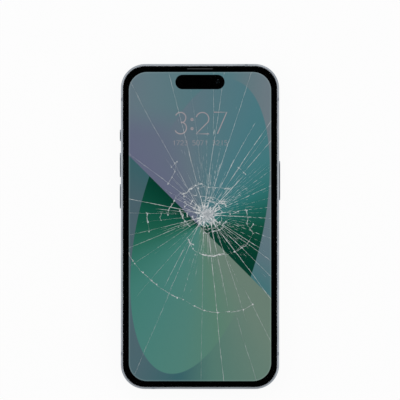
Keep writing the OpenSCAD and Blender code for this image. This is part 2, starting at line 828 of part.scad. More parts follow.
frame();
antenna_band(180, -band_side);  // antenna_band_left_upper
antenna_band(180, band_side);  // antenna_band_left_lower
antenna_band(0, band_side);  // antenna_band_right_upper
antenna_band(0, -band_side);  // antenna_band_right_lower
antenna_band(90, -band_end);  // antenna_band_top
antenna_band(270, -band_end);  // antenna_band_bottom
cover_glass();
display_ring();
display_panel();
display_back_plate();
display_gasket();
display_flex();
earpiece_mesh();
front_camera();
proximity_sensor();
earpiece_speaker();
front_module_bracket();
back_glass();
lens_bezel(main_lens_y);  // main_lens_bezel
lens_bezel(wide_lens_y);  // wide_lens_bezel
lens_window(main_lens_y);  // main_lens_window
lens_window(wide_lens_y);  // wide_lens_window
flash_diffuser();
flash_led();
rear_camera(main_lens_y, 9.4);  // main_camera
rear_camera(wide_lens_y, 8.2);  // wide_camera
camera_bracket();
camera_bracket_screws();
logic_board();
shield_can(upper_can);  // upper_shield_can
shield_can(lower_can);  // lower_shield_can
board_screws();
battery();
battery_flex();
charging_coil();
magnet_ring();
coil_shield();
haptic_motor();
loudspeaker();
sound_mesh(1);  // speaker_mesh
sound_mesh(-1);  // microphone_mesh
bottom_microphone();
dock_flex();
usb_shell();
usb_tongue();
bottom_screws();
key(-1, action_y, action_len);  // action_button
key(-1, volume_up_y, volume_len);  // volume_up_button
key(-1, volume_down_y, volume_len);  // volume_down_button
key(1, power_y, power_len);  // power_button
key_flex(-1, volume_down_y - 5, action_y + 3);  // left_key_flex
key_flex(1, power_y - 7, power_y + 7);  // right_key_flex
key_switch(-1, action_y);  // action_switch
key_switch(-1, volume_up_y);  // volume_up_switch
key_switch(-1, volume_down_y);  // volume_down_switch
key_switch(1, power_y);  // power_switch
sim_tray();
sim_reader();
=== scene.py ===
import json
import math

import bmesh
import bpy
import numpy as np
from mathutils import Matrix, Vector, geometry

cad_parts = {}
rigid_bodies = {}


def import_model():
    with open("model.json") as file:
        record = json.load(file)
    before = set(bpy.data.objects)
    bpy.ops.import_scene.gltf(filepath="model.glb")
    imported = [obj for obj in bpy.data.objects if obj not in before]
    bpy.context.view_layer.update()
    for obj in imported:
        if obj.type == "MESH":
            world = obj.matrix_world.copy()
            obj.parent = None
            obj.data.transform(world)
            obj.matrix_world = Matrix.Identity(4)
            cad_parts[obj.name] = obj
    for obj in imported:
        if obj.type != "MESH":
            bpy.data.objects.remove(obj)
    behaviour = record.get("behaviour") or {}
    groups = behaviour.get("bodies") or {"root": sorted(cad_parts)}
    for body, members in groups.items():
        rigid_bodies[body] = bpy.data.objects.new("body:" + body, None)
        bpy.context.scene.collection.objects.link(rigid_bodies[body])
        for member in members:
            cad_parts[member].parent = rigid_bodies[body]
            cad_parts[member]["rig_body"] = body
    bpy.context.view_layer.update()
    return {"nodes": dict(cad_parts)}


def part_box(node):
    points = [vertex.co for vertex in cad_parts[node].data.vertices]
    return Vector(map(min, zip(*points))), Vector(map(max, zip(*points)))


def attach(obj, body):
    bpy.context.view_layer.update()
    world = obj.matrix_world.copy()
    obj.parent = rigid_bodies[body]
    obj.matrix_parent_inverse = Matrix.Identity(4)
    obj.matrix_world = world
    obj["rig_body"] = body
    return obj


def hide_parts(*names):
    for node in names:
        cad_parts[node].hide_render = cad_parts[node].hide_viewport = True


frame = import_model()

nodes = frame["nodes"]

# ---- Rail frame -------------------------------------------------------------------------
# One perimeter of 6000-series aluminium, machined with its inner web, bead-blasted with
# fine glass beads and anodised a pale blue-grey. Its edges are broken by a small radius.


def linear(code):
    """The linear RGBA colour of an sRGB hex code."""
    rgb = np.array([int(code[i:i + 2], 16) for i in (0, 2, 4)]) / 255
    rgb = np.where(rgb <= 0.04045, rgb / 12.92, ((rgb + 0.055) / 1.055) ** 2.4)
    return (*rgb.tolist(), 1.0)


def add_node(tree, kind, inputs=None, **settings):
    """Adds a node with its own settings; inputs gives each socket a value or another node's output."""
    made = tree.nodes.new("ShaderNode" + kind)
    for name, value in settings.items():
        setattr(made, name, value)
    for name, value in (inputs or {}).items():
        if isinstance(value, bpy.types.NodeSocket):
            tree.links.new(value, made.inputs[name])
        else:
            made.inputs[name].default_value = value
    return made


def begin_material(name, **shader_values):
    """A material's node tree, its shader with the given values, and the place in millimetres."""
    material = bpy.data.materials.new(name)
    material.use_nodes = True
    tree = material.node_tree
    shader = tree.nodes["Principled BSDF"]
    for socket, value in shader_values.items():
        shader.inputs[socket.replace("_", " ")].default_value = value
    place = add_node(tree, "TexCoord").outputs["Object"]
    place = add_node(tree, "Mapping", {"Vector": place, "Scale": (1000, 1000, 1000)}).outputs[0]
    return material, tree, shader, place


def set_ramp(ramp_node, stops):
    """Gives a colour ramp its stops, as (position, sRGB hex code)."""
    points = ramp_node.color_ramp.elements
    for _ in range(len(stops) - len(points)):
        points.new(0.5)
    for point, (position, code) in zip(points, stops):
        point.position = position
        point.color = linear(code)


def finish_clouded(name, stops, per_mm, detail=2.0, sockets=("Base Color",), **shader_values):
    """A finish whose colour drifts between the stops' tones in clouds, so many to the millimetre."""
    material, tree, shader, place = begin_material(name, **shader_values)
    clouds = add_node(tree, "TexNoise", {"Vector": place, "Scale": per_mm, "Detail": detail})
    tones = add_node(tree, "ValToRGB", {"Fac": clouds.outputs["Fac"]})
    set_ramp(tones, stops)
    for socket in sockets:
        tree.links.new(tones.outputs["Color"], shader.inputs[socket])
    return material


def finish_grain(name, light, dark, patch, grit, rough, bump, **shader_values):
    """A finish whose colour drifts between two tones over patches and whose grain has a real size in mm."""
    material = finish_clouded(name, [(0.35, dark), (0.65, light)], 1 / patch, 4.0, **shader_values)
    tree = material.node_tree
    shader, place = tree.nodes["Principled BSDF"], tree.nodes["Mapping"].outputs[0]
    grain = add_node(tree, "TexNoise", {"Vector": place, "Scale": 1 / grit, "Detail": 2.0})
    gloss = add_node(tree, "MapRange", {"Value": grain.outputs["Fac"], 1: 0.3, 2: 0.7,
                                        3: rough[0], 4: rough[1]})
    tree.links.new(gloss.outputs[0], shader.inputs["Roughness"])
    relief = add_node(tree, "Bump", {"Height": grain.outputs["Fac"], "Strength": bump,
                                     "Distance": grit * 0.0001})
    tree.links.new(relief.outputs[0], shader.inputs["Normal"])
    return material


# Anodised aluminium: the blasted dimples spread its reflection, so it looks silky, not bright.
anodised = finish_grain("anodised_aluminium", "9ba1a8", "92989f", 9, 0.25, (0.34, 0.46), 0.35, Metallic=1.0)

MM = 0.001
same_point = 1e-4 * MM
# angles in degrees: faces this close to flat are joined, and edges past these are creased and bevelled
flat_angle, crease_angle, bevel_angle = 0.5, 28, 40


def box_mm(name):
    """A CAD node's box in millimetres: its low and its high corner."""
    return [np.array(corner) * 1000 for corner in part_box(name)]


def linked(name, data):
    """A new object of that mesh, lamp or camera, in the scene."""
    made = bpy.data.objects.new(name, data)
    bpy.context.scene.collection.objects.link(made)
    return made


def weld(mesh, join_flat=False):
    """Merges a mesh's doubled points and, if asked, joins its coplanar faces."""
    work = bmesh.new()
    work.from_mesh(mesh)
    bmesh.ops.remove_doubles(work, verts=work.verts, dist=same_point)
    if join_flat:
        bmesh.ops.dissolve_limit(work, angle_limit=math.radians(flat_angle), verts=work.verts,
                                 edges=work.edges)
    work.to_mesh(mesh)
    work.free()


def softened(node, name, width, material, segments=2):
    """A copy of a CAD node, welded, with its edges broken by a bevel of that width in mm, if it has one."""
    mesh = nodes[node].data.copy()
    weld(mesh, join_flat=True)
    mesh.shade_smooth()
    mesh.set_sharp_from_angle(angle=math.radians(crease_angle))
    mesh.materials.clear()
    mesh.materials.append(material)
    piece = linked(name, mesh)
    if width:
        edge = piece.modifiers.new("broken_edges", "BEVEL")
        edge.width = width * MM
        edge.segments = segments
        edge.limit_method = "ANGLE"
        edge.angle_limit = math.radians(bevel_angle)
        edge.harden_normals = True
    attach(piece, nodes[node]["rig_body"])
    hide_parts(node)
    return piece


softened("frame", "rail_frame", 0, anodised)

# ---- Antenna bands ----------------------------------------------------------------------
# Glass-filled nylon moulded into slots of the rail and machined flush with it, so each
# band is matt and a shade darker than the metal beside it.
band_nylon = finish_grain("glass_filled_nylon", "7f8790", "767e88", 2, 0.12, (0.5, 0.62), 0.3)


def paint(material, slot_name, *names):
    """Gives CAD nodes whose shape is right their finish."""
    for name in names:
        mesh = nodes[name].data
        mesh.materials.clear()
        mesh.materials.append(material)


paint(band_nylon, "antenna_plastic", *[name for name in nodes if name.startswith("antenna_band")])

# ---- Keys and card tray -----------------------------------------------------------------
# Machined from the rail's own alloy and anodised in the same bath, with rounded edges
# that a finger meets. The tray's face lies flush, with a pin hole at its lower end.
for key in ("action_button", "volume_up_button", "volume_down_button", "power_button"):
    softened(key, key + "_cap", 0.15, anodised, 3)
softened("sim_tray", "card_tray", 0.08, anodised)

# ---- Bottom rail: socket, screws and meshes ---------------------------------------------
# The socket's shell is drawn stainless steel, its tongue black LCP with gold contacts.
# The two screws are turned and plated, and a woven mesh closes the sound holes.
steel = finish_grain("drawn_stainless_steel", "c6c8ca", "b4b6b9", 3, 0.08, (0.24, 0.36), 0.2, Metallic=1.0)
black_resin = finish_grain("black_moulded_resin", "17181a", "101113", 3, 0.1, (0.42, 0.55), 0.3)
paint(steel, "sheet_steel", "usb_shell", "sim_reader", "front_module_bracket", "camera_bracket",
      "upper_shield_can", "lower_shield_can", "haptic_motor", "action_switch", "volume_up_switch",
      "volume_down_switch", "power_switch", "bottom_microphone", "display_back_plate")
paint(black_resin, "black_plastic", "usb_tongue", "display_ring", "earpiece_speaker", "loudspeaker",
      "proximity_sensor", "front_camera")
screw_steel = finish_grain("plated_screw_steel", "9a9da1", "84878b", 1, 0.05, (0.22, 0.34), 0.2, Metallic=1.0)
softened("bottom_screws", "bottom_rail_screws", 0.04, screw_steel)
paint(screw_steel, "screw_steel", "camera_bracket_screws", "board_screws")

# Woven polyester mesh, 0.2 mm between threads.
mesh_cloth, mesh_tree, mesh_shader, mesh_place = begin_material("woven_acoustic_mesh", Roughness=0.7)
threads = [add_node(mesh_tree, "TexWave", {"Vector": mesh_place, "Scale": 1.57},
                    bands_direction=way).outputs["Fac"] for way in ("X", "Z")]
weave = add_node(mesh_tree, "Math", {0: threads[0], 1: threads[1]}, operation="MULTIPLY")
mesh_tone = add_node(mesh_tree, "ValToRGB", {"Fac": weave.outputs[0]})
set_ramp(mesh_tone, [(0.2, "2a2b2d"), (0.7, "0a0a0b")])
mesh_tree.links.new(mesh_tone.outputs["Color"], mesh_shader.inputs["Base Color"])
paint(mesh_cloth, "acoustic_mesh", "earpiece_mesh", "speaker_mesh", "microphone_mesh")

# ---- Inner pieces -----------------------------------------------------------------------
# Everything sealed inside keeps its CAD shape: solder-masked board, foil-wrapped battery,
# polyimide flexes, enamelled copper coil, nickel-plated magnets and a black ferrite sheet.
solder_mask = finish_grain("solder_mask", "0d4a34", "0a3a2a", 2, 0.3, (0.3, 0.4), 0.2)
battery_wrap = finish_grain("black_pouch_wrap", "2a2b2e", "232427", 12, 0.6, (0.45, 0.6), 0.3)
polyimide = finish_grain("polyimide_film", "a8642a", "8c4f1e", 4, 0.4, (0.25, 0.35), 0.15)
foam_tape = finish_grain("black_foam_tape", "1b1b1c", "141415", 1, 0.15, (0.8, 0.9), 0.6)
nickel = finish_grain("nickel_plate", "c9c5bc", "b9b5ad", 3, 0.1, (0.2, 0.3), 0.15, Metallic=1.0)
ferrite = finish_grain("ferrite_sheet", "2b2c2e", "222325", 6, 0.3, (0.55, 0.65), 0.3)
phosphor = finish_grain("led_phosphor", "e3c94c", "d6b93c", 1, 0.1, (0.5, 0.6), 0.3)
paint(solder_mask, "circuit_board", "logic_board")
paint(battery_wrap, "battery_foil", "battery")
paint(polyimide, "flex_film", "battery_flex", "display_flex", "dock_flex", "left_key_flex", "right_key_flex")
paint(foam_tape, "gasket_rubber", "display_gasket")
paint(nickel, "magnet_metal", "magnet_ring")
paint(ferrite, "ferrite", "coil_shield")
paint(phosphor, "led_yellow", "flash_led")

# Enamelled copper wire, 0.35 mm across, laid in a flat spiral: the turns show as rings.
coil_x, coil_y, _ = sum(box_mm("charging_coil")) / 2
copper, copper_tree, copper_shader, copper_place = begin_material(
    "enamelled_copper", Metallic=1.0, Roughness=0.3)
copper_place = add_node(copper_tree, "Mapping", {"Vector": copper_place,
                                                 "Location": (-coil_x, -coil_y, 0)}).outputs[0]
turns = add_node(copper_tree, "TexWave", {"Vector": copper_place, "Scale": 0.45}, wave_type="RINGS",
                 rings_direction="Z")
copper_tone = add_node(copper_tree, "ValToRGB", {"Fac": turns.outputs["Fac"]})
set_ramp(copper_tone, [(0.1, "5c2c14"), (0.6, "c9794a")])
copper_tree.links.new(copper_tone.outputs["Color"], copper_shader.inputs["Base Color"])
paint(copper, "copper", "charging_coil")

# ---- Display ----------------------------------------------------------------------------
# A lit panel under the glass. It shows plain fields of colour: one large leaning oval, cut
# across by a diagonal, whose tones turn round the middle and fade into the ground.
glass_low, glass_high = box_mm("cover_glass")
border_width = 2.61
active_half = glass_high[:2] - border_width
active_corner = 8.2
panel_glow = {"Roughness": 0.3, "Base_Color": linear("020202"), "Emission_Strength": 1.04,
              "Specular_IOR_Level": 0.0}

lit, lit_tree, lit_shader, lit_place = begin_material("lit_display", **panel_glow)
cut_place = add_node(lit_tree, "Mapping", {"Vector": lit_place,
                                           "Rotation": (0, 0, math.radians(45))}).outputs[0]
sweep = add_node(lit_tree, "TexGradient", {"Vector": cut_place}, gradient_type="RADIAL").outputs["Fac"]


def by_direction(*stops):
    """Ramp stops from directions in degrees, counted on from the cut at 135."""
    return [((direction - 135) / 360, code) for direction, code in stops]


past_cut = add_node(lit_tree, "Math", {0: sweep, 1: 0.5}, operation="GREATER_THAN").outputs[0]


def tones_round(before, beyond):
    """The colour in each direction: one ramp before the cut's far end at 315 and one beyond it, so
    that the cut is crisp."""
    ramps = []
    for stops in (before, beyond):
        ramps.append(add_node(lit_tree, "ValToRGB", {"Fac": sweep}))
        set_ramp(ramps[-1], by_direction(*stops))
    return add_node(lit_tree, "Mix", {0: past_cut, 6: ramps[0].outputs[0], 7: ramps[1].outputs[0]},
                    data_type="RGBA").outputs[2]


oval_tones = tones_round(
    [(135, "043a2c"), (150, "0a4536"), (165, "135343"), (180, "1b5a48"), (195, "2a6858"), (210, "39756a"),
     (225, "427c73"), (243, "487e77"), (262, "4f7f76"), (280, "597f6f"), (300, "697f73"), (315, "6a7e72")],
    [(315, "043a2c"), (330, "053b2d"), (345, "084031"), (360, "114d3d"), (375, "1d5f56"), (390, "30706f"),
     (405, "42787d"), (425, "4b7780"), (443, "56767f"), (460, "63737f"), (475, "636c7f"), (495, "646880")])
ground_tones = tones_round(
    [(135, "3a6066"), (160, "4a6069"), (225, "52656d"), (247, "4b656d"), (262, "386167"), (275, "53796f"),
     (300, "697f73"), (315, "6a7e72")],
    [(315, "447277"), (335, "5c747d"), (370, "64767f"), (400, "6c7981"), (420, "6c7981"), (432, "62777f"),
     (450, "5d777f"), (460, "62737f"), (475, "636c7f"), (495, "646880")])
flat_place = add_node(lit_tree, "VectorMath", {0: lit_place, 1: (1, 1, 0)}, operation="MULTIPLY").outputs[0]
oval = add_node(lit_tree, "Mapping", {"Vector": flat_place, "Rotation": (0, 0, math.radians(77)),
                                      "Scale": (68, 28.3, 1)}, vector_type="TEXTURE").outputs[0]
oval_reach = add_node(lit_tree, "VectorMath", {0: oval}, operation="LENGTH").outputs["Value"]
in_oval = add_node(lit_tree, "MapRange", {"Value": oval_reach, 1: 0.997, 2: 1.003, 3: 1.0, 4: 0.0}).outputs[0]
# towards the top the ground turns slate, from side to side
split = add_node(lit_tree, "SeparateXYZ", {0: lit_place})
upper = add_node(lit_tree, "MapRange", {"Value": split.outputs["Y"], 1: 40, 2: 57, 3: 0.0, 4: 0.95},
                 interpolation_type="SMOOTHSTEP").outputs[0]
across = add_node(lit_tree, "MapRange", {"Value": split.outputs["X"], 1: -33, 2: 33}).outputs[0]
slate_tones = add_node(lit_tree, "ValToRGB", {"Fac": across})
set_ramp(slate_tones, [(0.0, "65757f"), (0.16, "607880"), (0.34, "5a787f"), (0.6, "4f777f"),
                       (0.72, "56787f"), (0.85, "64787f"), (0.96, "6c7981")])
slate = add_node(lit_tree, "Mix", {0: upper, 6: ground_tones, 7: slate_tones.outputs[0]},
                 data_type="RGBA").outputs[2]
fields = add_node(lit_tree, "Mix", {0: in_oval, 6: slate, 7: oval_tones}, data_type="RGBA").outputs[2]
# the panel is a little brighter along its very edge: a painted highlight that stands in for the gleam of the
# glass's edge
folded = add_node(lit_tree, "VectorMath", {0: flat_place}, operation="ABSOLUTE").outputs[0]
core = (*(active_half - active_corner).tolist(), 0)
from_core = add_node(lit_tree, "VectorMath", {0: folded, 1: core}, operation="SUBTRACT").outputs[0]
from_core = add_node(lit_tree, "VectorMath", {0: from_core, 1: (0, 0, 0)}, operation="MAXIMUM").outputs[0]
to_edge = add_node(lit_tree, "VectorMath", {0: from_core}, operation="LENGTH").outputs["Value"]
# painted highlight: pale a8b8ba mixed into the panel's light, up to 0.16, over its outermost 0.6 mm
painted_edge_highlight = add_node(lit_tree, "MapRange", {"Value": to_edge, 1: active_corner - 0.6, 2: active_corner - 0.3,
                                       3: 0.0, 4: 0.16}).outputs[0]
shown = add_node(lit_tree, "Mix", {0: painted_edge_highlight, 6: fields, 7: linear("a8b8ba")}, data_type="RGBA").outputs[2]
lit_tree.links.new(shown, lit_shader.inputs["Emission Color"])
paint(lit, "display_panel", "display_panel")

# ---- Clock digits -----------------------------------------------------------------------
# Plain numerals that the panel lights up: thin strokes in warm grey, with a row of
# small ones below it.


def arc(cx, cy, radius, start, end, count=24):
    """Points along a circle from one direction to another, in degrees."""
    turn = np.radians(np.linspace(start, end, count))
    return np.column_stack([cx + radius * np.cos(turn), cy + radius * np.sin(turn)])


def sides_of(path):
    """The unit vector to the left of a path at each of its points."""
    along = np.gradient(path, axis=0)
    along /= np.linalg.norm(along, axis=1, keepdims=True)
    return np.column_stack([-along[:, 1], along[:, 0]])


def mesh_piece(name, vertices, faces, materials, slot_name, body="body", face_materials=None, smooth=None):
    """A piece from vertices in millimetres and faces, with its finishes and body."""
    mesh = bpy.data.meshes.new(name)
    mesh.from_pydata((np.asarray(vertices, float) * MM).tolist(), [], [list(f) for f in faces])
    for material in materials:
        mesh.materials.append(material)
    if face_materials is not None:
        mesh.polygons.foreach_set("material_index", np.asarray(face_materials, np.int32))
    if smooth is not None:
        mesh.polygons.foreach_set("use_smooth", np.asarray(smooth, bool))
    mesh.update()
    piece = linked(name, mesh)
    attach(piece, body)
    return piece


def stroke_mesh(paths, width, z):
    """Flat ribbons of one width along several paths at height z: vertices and faces."""
    vertices, faces, first = [], [], 0
    for path in paths:
        off = sides_of(path) * width / 2
        both = np.concatenate([path + off, path - off])
        count = len(path)
        vertices.append(np.column_stack([both, np.full(2 * count, z)]))
        i = np.arange(count - 1) + first
        faces.append(np.column_stack([i + count, i + count + 1, i + 1, i]))
        first += 2 * count
    return np.concatenate(vertices), np.concatenate(faces)


def numeral(digit, x, y, w, h):
    """The strokes of a numeral in a box w wide and h high whose lower left corner is at x, y."""
    r = w / 2
    if digit == "3":
        return [np.concatenate([arc(x + r, y + 0.745 * h, 0.245 * h, 155, -80),
                                arc(x + r, y + 0.275 * h, 0.275 * h, 85, -155)])]
    if digit == "2":
        return [np.concatenate([arc(x + r, y + h - r, r * 0.96, 165, -32),
                                [[x + 0.02 * w, y]], [[x + w, y]]])]
    if digit == "7":
        return [np.array([[x, y + h], [x + w, y + h], [x + 0.28 * w, y]])]
    if digit == "1":
        return [np.array([[x + 0.3 * w, y + 0.8 * h], [x + 0.65 * w, y + h], [x + 0.65 * w, y]])]
    if digit == "0":
        return [np.concatenate([arc(x + r, y + h - r, r, 0, 180), arc(x + r, y + r, r, 180, 360),
                                [[x + w, y + h - r]]])]
    if digit == "5":
        return [np.concatenate([[[x + 0.9 * w, y + h], [x + 0.15 * w, y + h], [x + 0.08 * w, y + 0.58 * h]],
                                arc(x + 0.45 * w, y + 0.33 * h, 0.33 * h, 110, -140)])]
    return [arc(x + r, y + 0.24 * h, 0.05 * h, 0, 360, 9), arc(x + r, y + 0.66 * h, 0.05 * h, 0, 360, 9)]


digit_glow = finish_clouded("lit_numerals", [(0.3, "948c92"), (0.7, "9c9498")], 0.15,
                            sockets=("Emission Color",), **panel_glow)
thin_gap = 0.006
z_numerals = box_mm("display_panel")[1][2] + thin_gap
clock_y = 41.9
clock_h = 9.8
clock = []
for digit, left, wide in (("3", -11.8, 6.0), (":", -4.6, 2.0), ("2", -1.9, 6.0), ("7", 6.2, 5.9)):
    clock += numeral(digit, left, clock_y, wide, clock_h)
mesh_piece("clock_numerals", *stroke_mesh(clock, 0.5, z_numerals), [digit_glow], "display_panel")
row_left, row_y, row_pitch = -12.4, 36.8, 1.8
small_w, small_h = 1.3, 2.1
small_row = []
for place_in_row, digit in enumerate("1723 5071 3215"):
    if digit != " ":
        small_row += numeral(digit, row_left + place_in_row * row_pitch, row_y, small_w, small_h)
mesh_piece("small_numerals", *stroke_mesh(small_row, 0.2, z_numerals), [digit_glow], "display_panel")

# ---- Cover glass: the crack network -----------------------------------------------------
# Ion-strengthened glass, broken by one blow. Cracks run out from the crushed spot to the
# edges, others run round it, and each crack's broken faces scatter light as a pale line.
blow = np.array([3.3, 5.3])
crush_radius = 4.3
# an outer radius of past_edge means that the crack runs off the glass; none needs to be drawn beyond farthest
past_edge = 110
farthest = 84
dice = np.random.default_rng(7)


def crack_at(direction, radius, lean=0.0):
    """The point at a radius from the blow: the direction in degrees, turned by lean mm at that radius
    because few cracks point exactly at the blow, and by a slow wander."""
    direction = np.asarray(direction, float)
    radius = np.asarray(radius, float)
    slow = 0.14 + 0.1 * np.sin(np.radians(direction * 13))
    turn = np.radians(direction + slow * np.sin(np.radians(radius * 9 + direction * 3))) + lean / radius
    return np.stack([blow[0] + radius * np.cos(turn), blow[1] + radius * np.sin(turn)], axis=-1)


def rounded_rect(half_x, half_y, radius, count=16):
    """The outline of a rectangle with round corners, counterclockwise."""
    quarters = []
    for k, (side_x, side_y) in enumerate(((1, 1), (-1, 1), (-1, -1), (1, -1))):
        quarters.append(arc(side_x * (half_x - radius), side_y * (half_y - radius), radius,
                            90 * k, 90 * (k + 1), count))
    return np.concatenate(quarters)


edge_round = 0.1
glass_half = glass_high[:2]
glass_corner = 9.95
# the pill and the earpiece slot: half their sizes, and how far their middles lie below the glass's top edge
pill_half = np.array([11.15, 3.25])
pill_drop = 7.15
ear_half = np.array([5.9, 0.25])
ear_drop = 1.15
pill_middle = np.array([0, glass_half[1] - pill_drop])
ear_middle = np.array([0, glass_half[1] - ear_drop])
# cracks through the whole glass: direction, lean, inner and outer radius, width in mm, dashed or not
through_cracks = [
    (7.2, 0, 3.2, past_edge, 0.11, 1), (24.6, 0, 3.2, past_edge, 0.13, 1),
    (34.9, 0, 3.2, past_edge, 0.11, 1), (47.2, 0, 3.2, 25.2, 0.2, 0), (49.3, 0, 24.6, past_edge, 0.16, 0),
    (55.7, 0.2, 14, past_edge, 0.16, 0), (61.8, 0.8, 9, 47, 0.1, 0), (71.8, 1.1, 3.2, past_edge, 0.12, 0),
    (81.4, 1.9, 3.2, past_edge, 0.12, 0), (88.6, -1.6, 36, past_edge, 0.1, 0), (97, 0.3, 13, 57, 0.05, 0),
    (104.3, 1, 3.2, past_edge, 0.1, 0), (118.6, 2, 3.2, past_edge, 0.1, 0), (133, 0, 13, 24, 0.07, 0),
    (142.6, -0.6, 3.2, past_edge, 0.09, 0), (152.5, 0, 3.2, 17, 0.15, 0),
    (168.3, 0, 3.2, past_edge, 0.15, 0), (178.4, 0, 11, past_edge, 0.06, 0),
    (193.6, 0.65, 3.2, past_edge, 0.1, 0), (203, 0, 10, past_edge, 0.12, 0),
    (213.6, 0, 3.2, past_edge, 0.07, 0), (229, 0, 3.2, 52, 0.07, 0), (243, -2.5, 14, 39, 0.11, 0),
    (247, -2, 3.2, past_edge, 0.1, 0), (253, 0, 18, 40, 0.07, 1), (269, -1.6, 3.2, past_edge, 0.08, 0),
    (275.6, 0, 8, past_edge, 0.17, 0), (281.3, 0.9, 3.2, 45, 0.12, 0), (286.3, 0, 44, past_edge, 0.1, 0),
    (288.2, 1.9, 3.2, 53, 0.1, 0), (296.6, 0, 36, past_edge, 0.12, 0),
    (307.2, 0, 3.2, past_edge, 0.17, 0), (316, 0, 8, past_edge, 0.12, 0),
    (324.2, 0, 3.2, past_edge, 0.12, 0), (339.8, 0, 9, past_edge, 0.12, 1),
    (356.9, 0, 3.2, past_edge, 0.14, 1)]
# finer cracks in the upper skin only
skin_cracks = [
    (11, 0, 4, 15, 0.1, 1), (15.2, 0, 5, 31, 0.09, 1), (20, 0, 7, 17, 0.09, 1), (28.8, 0, 4, 30, 0.08, 1),
    (32, 0, 6, 26, 0.07, 1), (38.8, 0, 5, 38, 0.1, 1), (41.8, 0, 14, 36, 0.07, 1),
    (44.3, 0, 6, 33, 0.07, 1), (52.6, 0, 13, 17, 0.12, 0), (50.6, 0, 17, 25, 0.1, 0),
    (53.4, 0, 25, 48, 0.12, 0), (57.5, 0, 4, 13, 0.18, 0), (66.5, 0, 5, 18, 0.12, 0),
    (75, 0, 5, 13, 0.1, 0), (79, 0, 5, 34, 0.12, 1), (84, 0, 4, 14, 0.12, 0), (89.8, 0.3, 4, 44, 0.1, 1),
    (95.4, 0, 8, 30, 0.06, 1), (98.3, 0, 20, 30, 0.06, 1), (101.5, 0, 12, 24, 0.11, 1),
    (110.8, 0, 5, 18, 0.12, 0), (115.7, 0, 5, 22, 0.07, 0), (126.6, 0, 4, 34, 0.1, 1),
    (134.4, 0, 5, 24, 0.07, 0), (146.3, 0, 5, 17, 0.11, 0), (149.2, 0, 9, 25, 0.11, 1),
    (163.8, 0, 4, 13, 0.13, 0), (173.3, 0, 5, 24, 0.15, 0), (176.4, 0, 13, 23, 0.12, 1),
    (186.5, 0, 5, 30, 0.08, 0), (200.3, 0, 5, 24, 0.13, 0), (207.3, 0, 5, 18, 0.1, 0),
    (221.5, 0, 5, 24, 0.08, 1), (234.4, 0, 5, 17, 0.12, 0), (237, 0, 9, 24, 0.08, 0),
    (256, 0, 8, 28, 0.07, 1), (260, 0, 4, 17, 0.15, 0), (259.2, 0, 22, 29, 0.1, 1),
    (265, 0, 5, 17, 0.08, 0), (271.2, 0, 4, 23, 0.14, 0), (274.3, 0, 5, 17, 0.13, 0),
    (278, 0, 12, 33, 0.06, 1), (285, 0, 5, 18, 0.12, 0), (293.8, 0.3, 8, 38, 0.12, 1),
    (298.8, 0, 5, 14, 0.08, 0), (302.8, 0, 8, 24, 0.11, 1), (309.3, 0, 5, 18, 0.12, 0),
    (311.8, 0, 5, 28, 0.06, 1), (320, 0, 5, 24, 0.07, 1), (327.7, 0, 5, 31, 0.17, 0),
    (332.8, 0, 5, 29, 0.12, 1), (336.6, 0, 5, 17, 0.1, 1), (344, 0, 5, 22, 0.08, 1),
    (347.8, 0, 5, 29, 0.1, 1), (352, 0, 8, 22, 0.07, 1), (2.5, 0, 9, 25, 0.07, 1)]
# cracks that run round the blow, as corners of direction and radius, with a width in mm
round_cracks = [
    ([(206, 39.5), (214, 39.5), (222, 39), (230, 38.8), (247, 39.6), (254, 39.8), (268, 43.2),
      (277, 44.4), (283, 44.8), (291, 45.8), (297, 45.4)], 0.06),
    ([(228.5, 13.7), (247, 16.6), (268, 18), (283, 18.6), (291, 18.8), (307, 20.9), (324, 22.3),
      (338, 22.5), (347, 18.6), (356, 18.4), (367.6, 17.5)], 0.08),
    ([(140, 15.5), (157, 16.2), (169, 17.2), (180, 17.8)], 0.12),
    ([(168, 12.6), (180, 11.8), (196, 10.6), (214, 9.4)], 0.16),
    ([(178, 27.5), (187, 27), (196, 27.4)], 0.2),
    ([(105, 14.8), (120, 13.8), (133, 13.6), (142, 13.4)], 0.1),
    ([(120, 27.6), (127, 24.4), (133, 23.2), (142, 22.6)], 0.14),
    ([(24, 9.2), (35, 9.4), (49, 8.2), (73, 7.8), (87, 7.9), (111, 8.6)], 0.14),
    ([(47, 15.6), (56, 14.2), (73, 12.6), (87, 12.4), (97, 12.8), (109, 12.7)], 0.12),
    ([(46.5, 25.1), (49.5, 25.2), (57, 25.6)], 0.18),
    ([(258, 8.4), (291, 8), (307, 8.6), (324, 9.2), (340, 9)], 0.14)]
# short stretches where the broken face shows broad and bright: along a crack, and round the blow
bright_stretches = [
    (105, 0.8, 22, 30, 0.15, 0), (62.6, 0.6, 23, 28, 0.2, 0), (62.8, 0, 44.5, 46.8, 0.22, 0),
    (327.6, 0, 12, 27, 0.2, 0), (81.4, 1.9, 24, 37, 0.13, 0), (85.5, 0, 36, 39, 0.3, 0),
    (55.7, 0, 19, 29, 0.16, 0), (47.2, 0, 8, 20, 0.18, 0), (275.6, 0, 22, 28, 0.22, 0),
    (275.6, 0, 28, 34, 0.12, 0), (283.4, 0, 25, 30, 0.14, 0), (307.3, 0, 9, 23, 0.2, 0),
    (316.2, 0, 13, 23, 0.18, 0), (357, 0, 9, 18, 0.16, 0), (271.4, 0, 8, 13, 0.16, 0),
    (204.5, 0, 7, 13, 0.18, 0), (197.8, 0, 7, 13, 0.18, 0), (173.3, 0, 17, 22, 0.16, 0),
    (168.3, 0, 17, 27, 0.16, 0), (75.6, 0, 18, 24, 0.14, 0), (24.6, 0, 22, 29, 0.12, 1),
    (260, 0, 12, 17, 0.14, 0), (284.6, 0, 13, 17, 0.16, 0), (243.4, 0, 31, 38, 0.1, 0),
    (42.7, 0, 6.8, 11, 0.5, 0), (51, 0, 10, 16, 0.2, 0), (61.5, 0.8, 12, 22, 0.12, 0),
    (49.3, 0, 25, 36, 0.12, 0)]
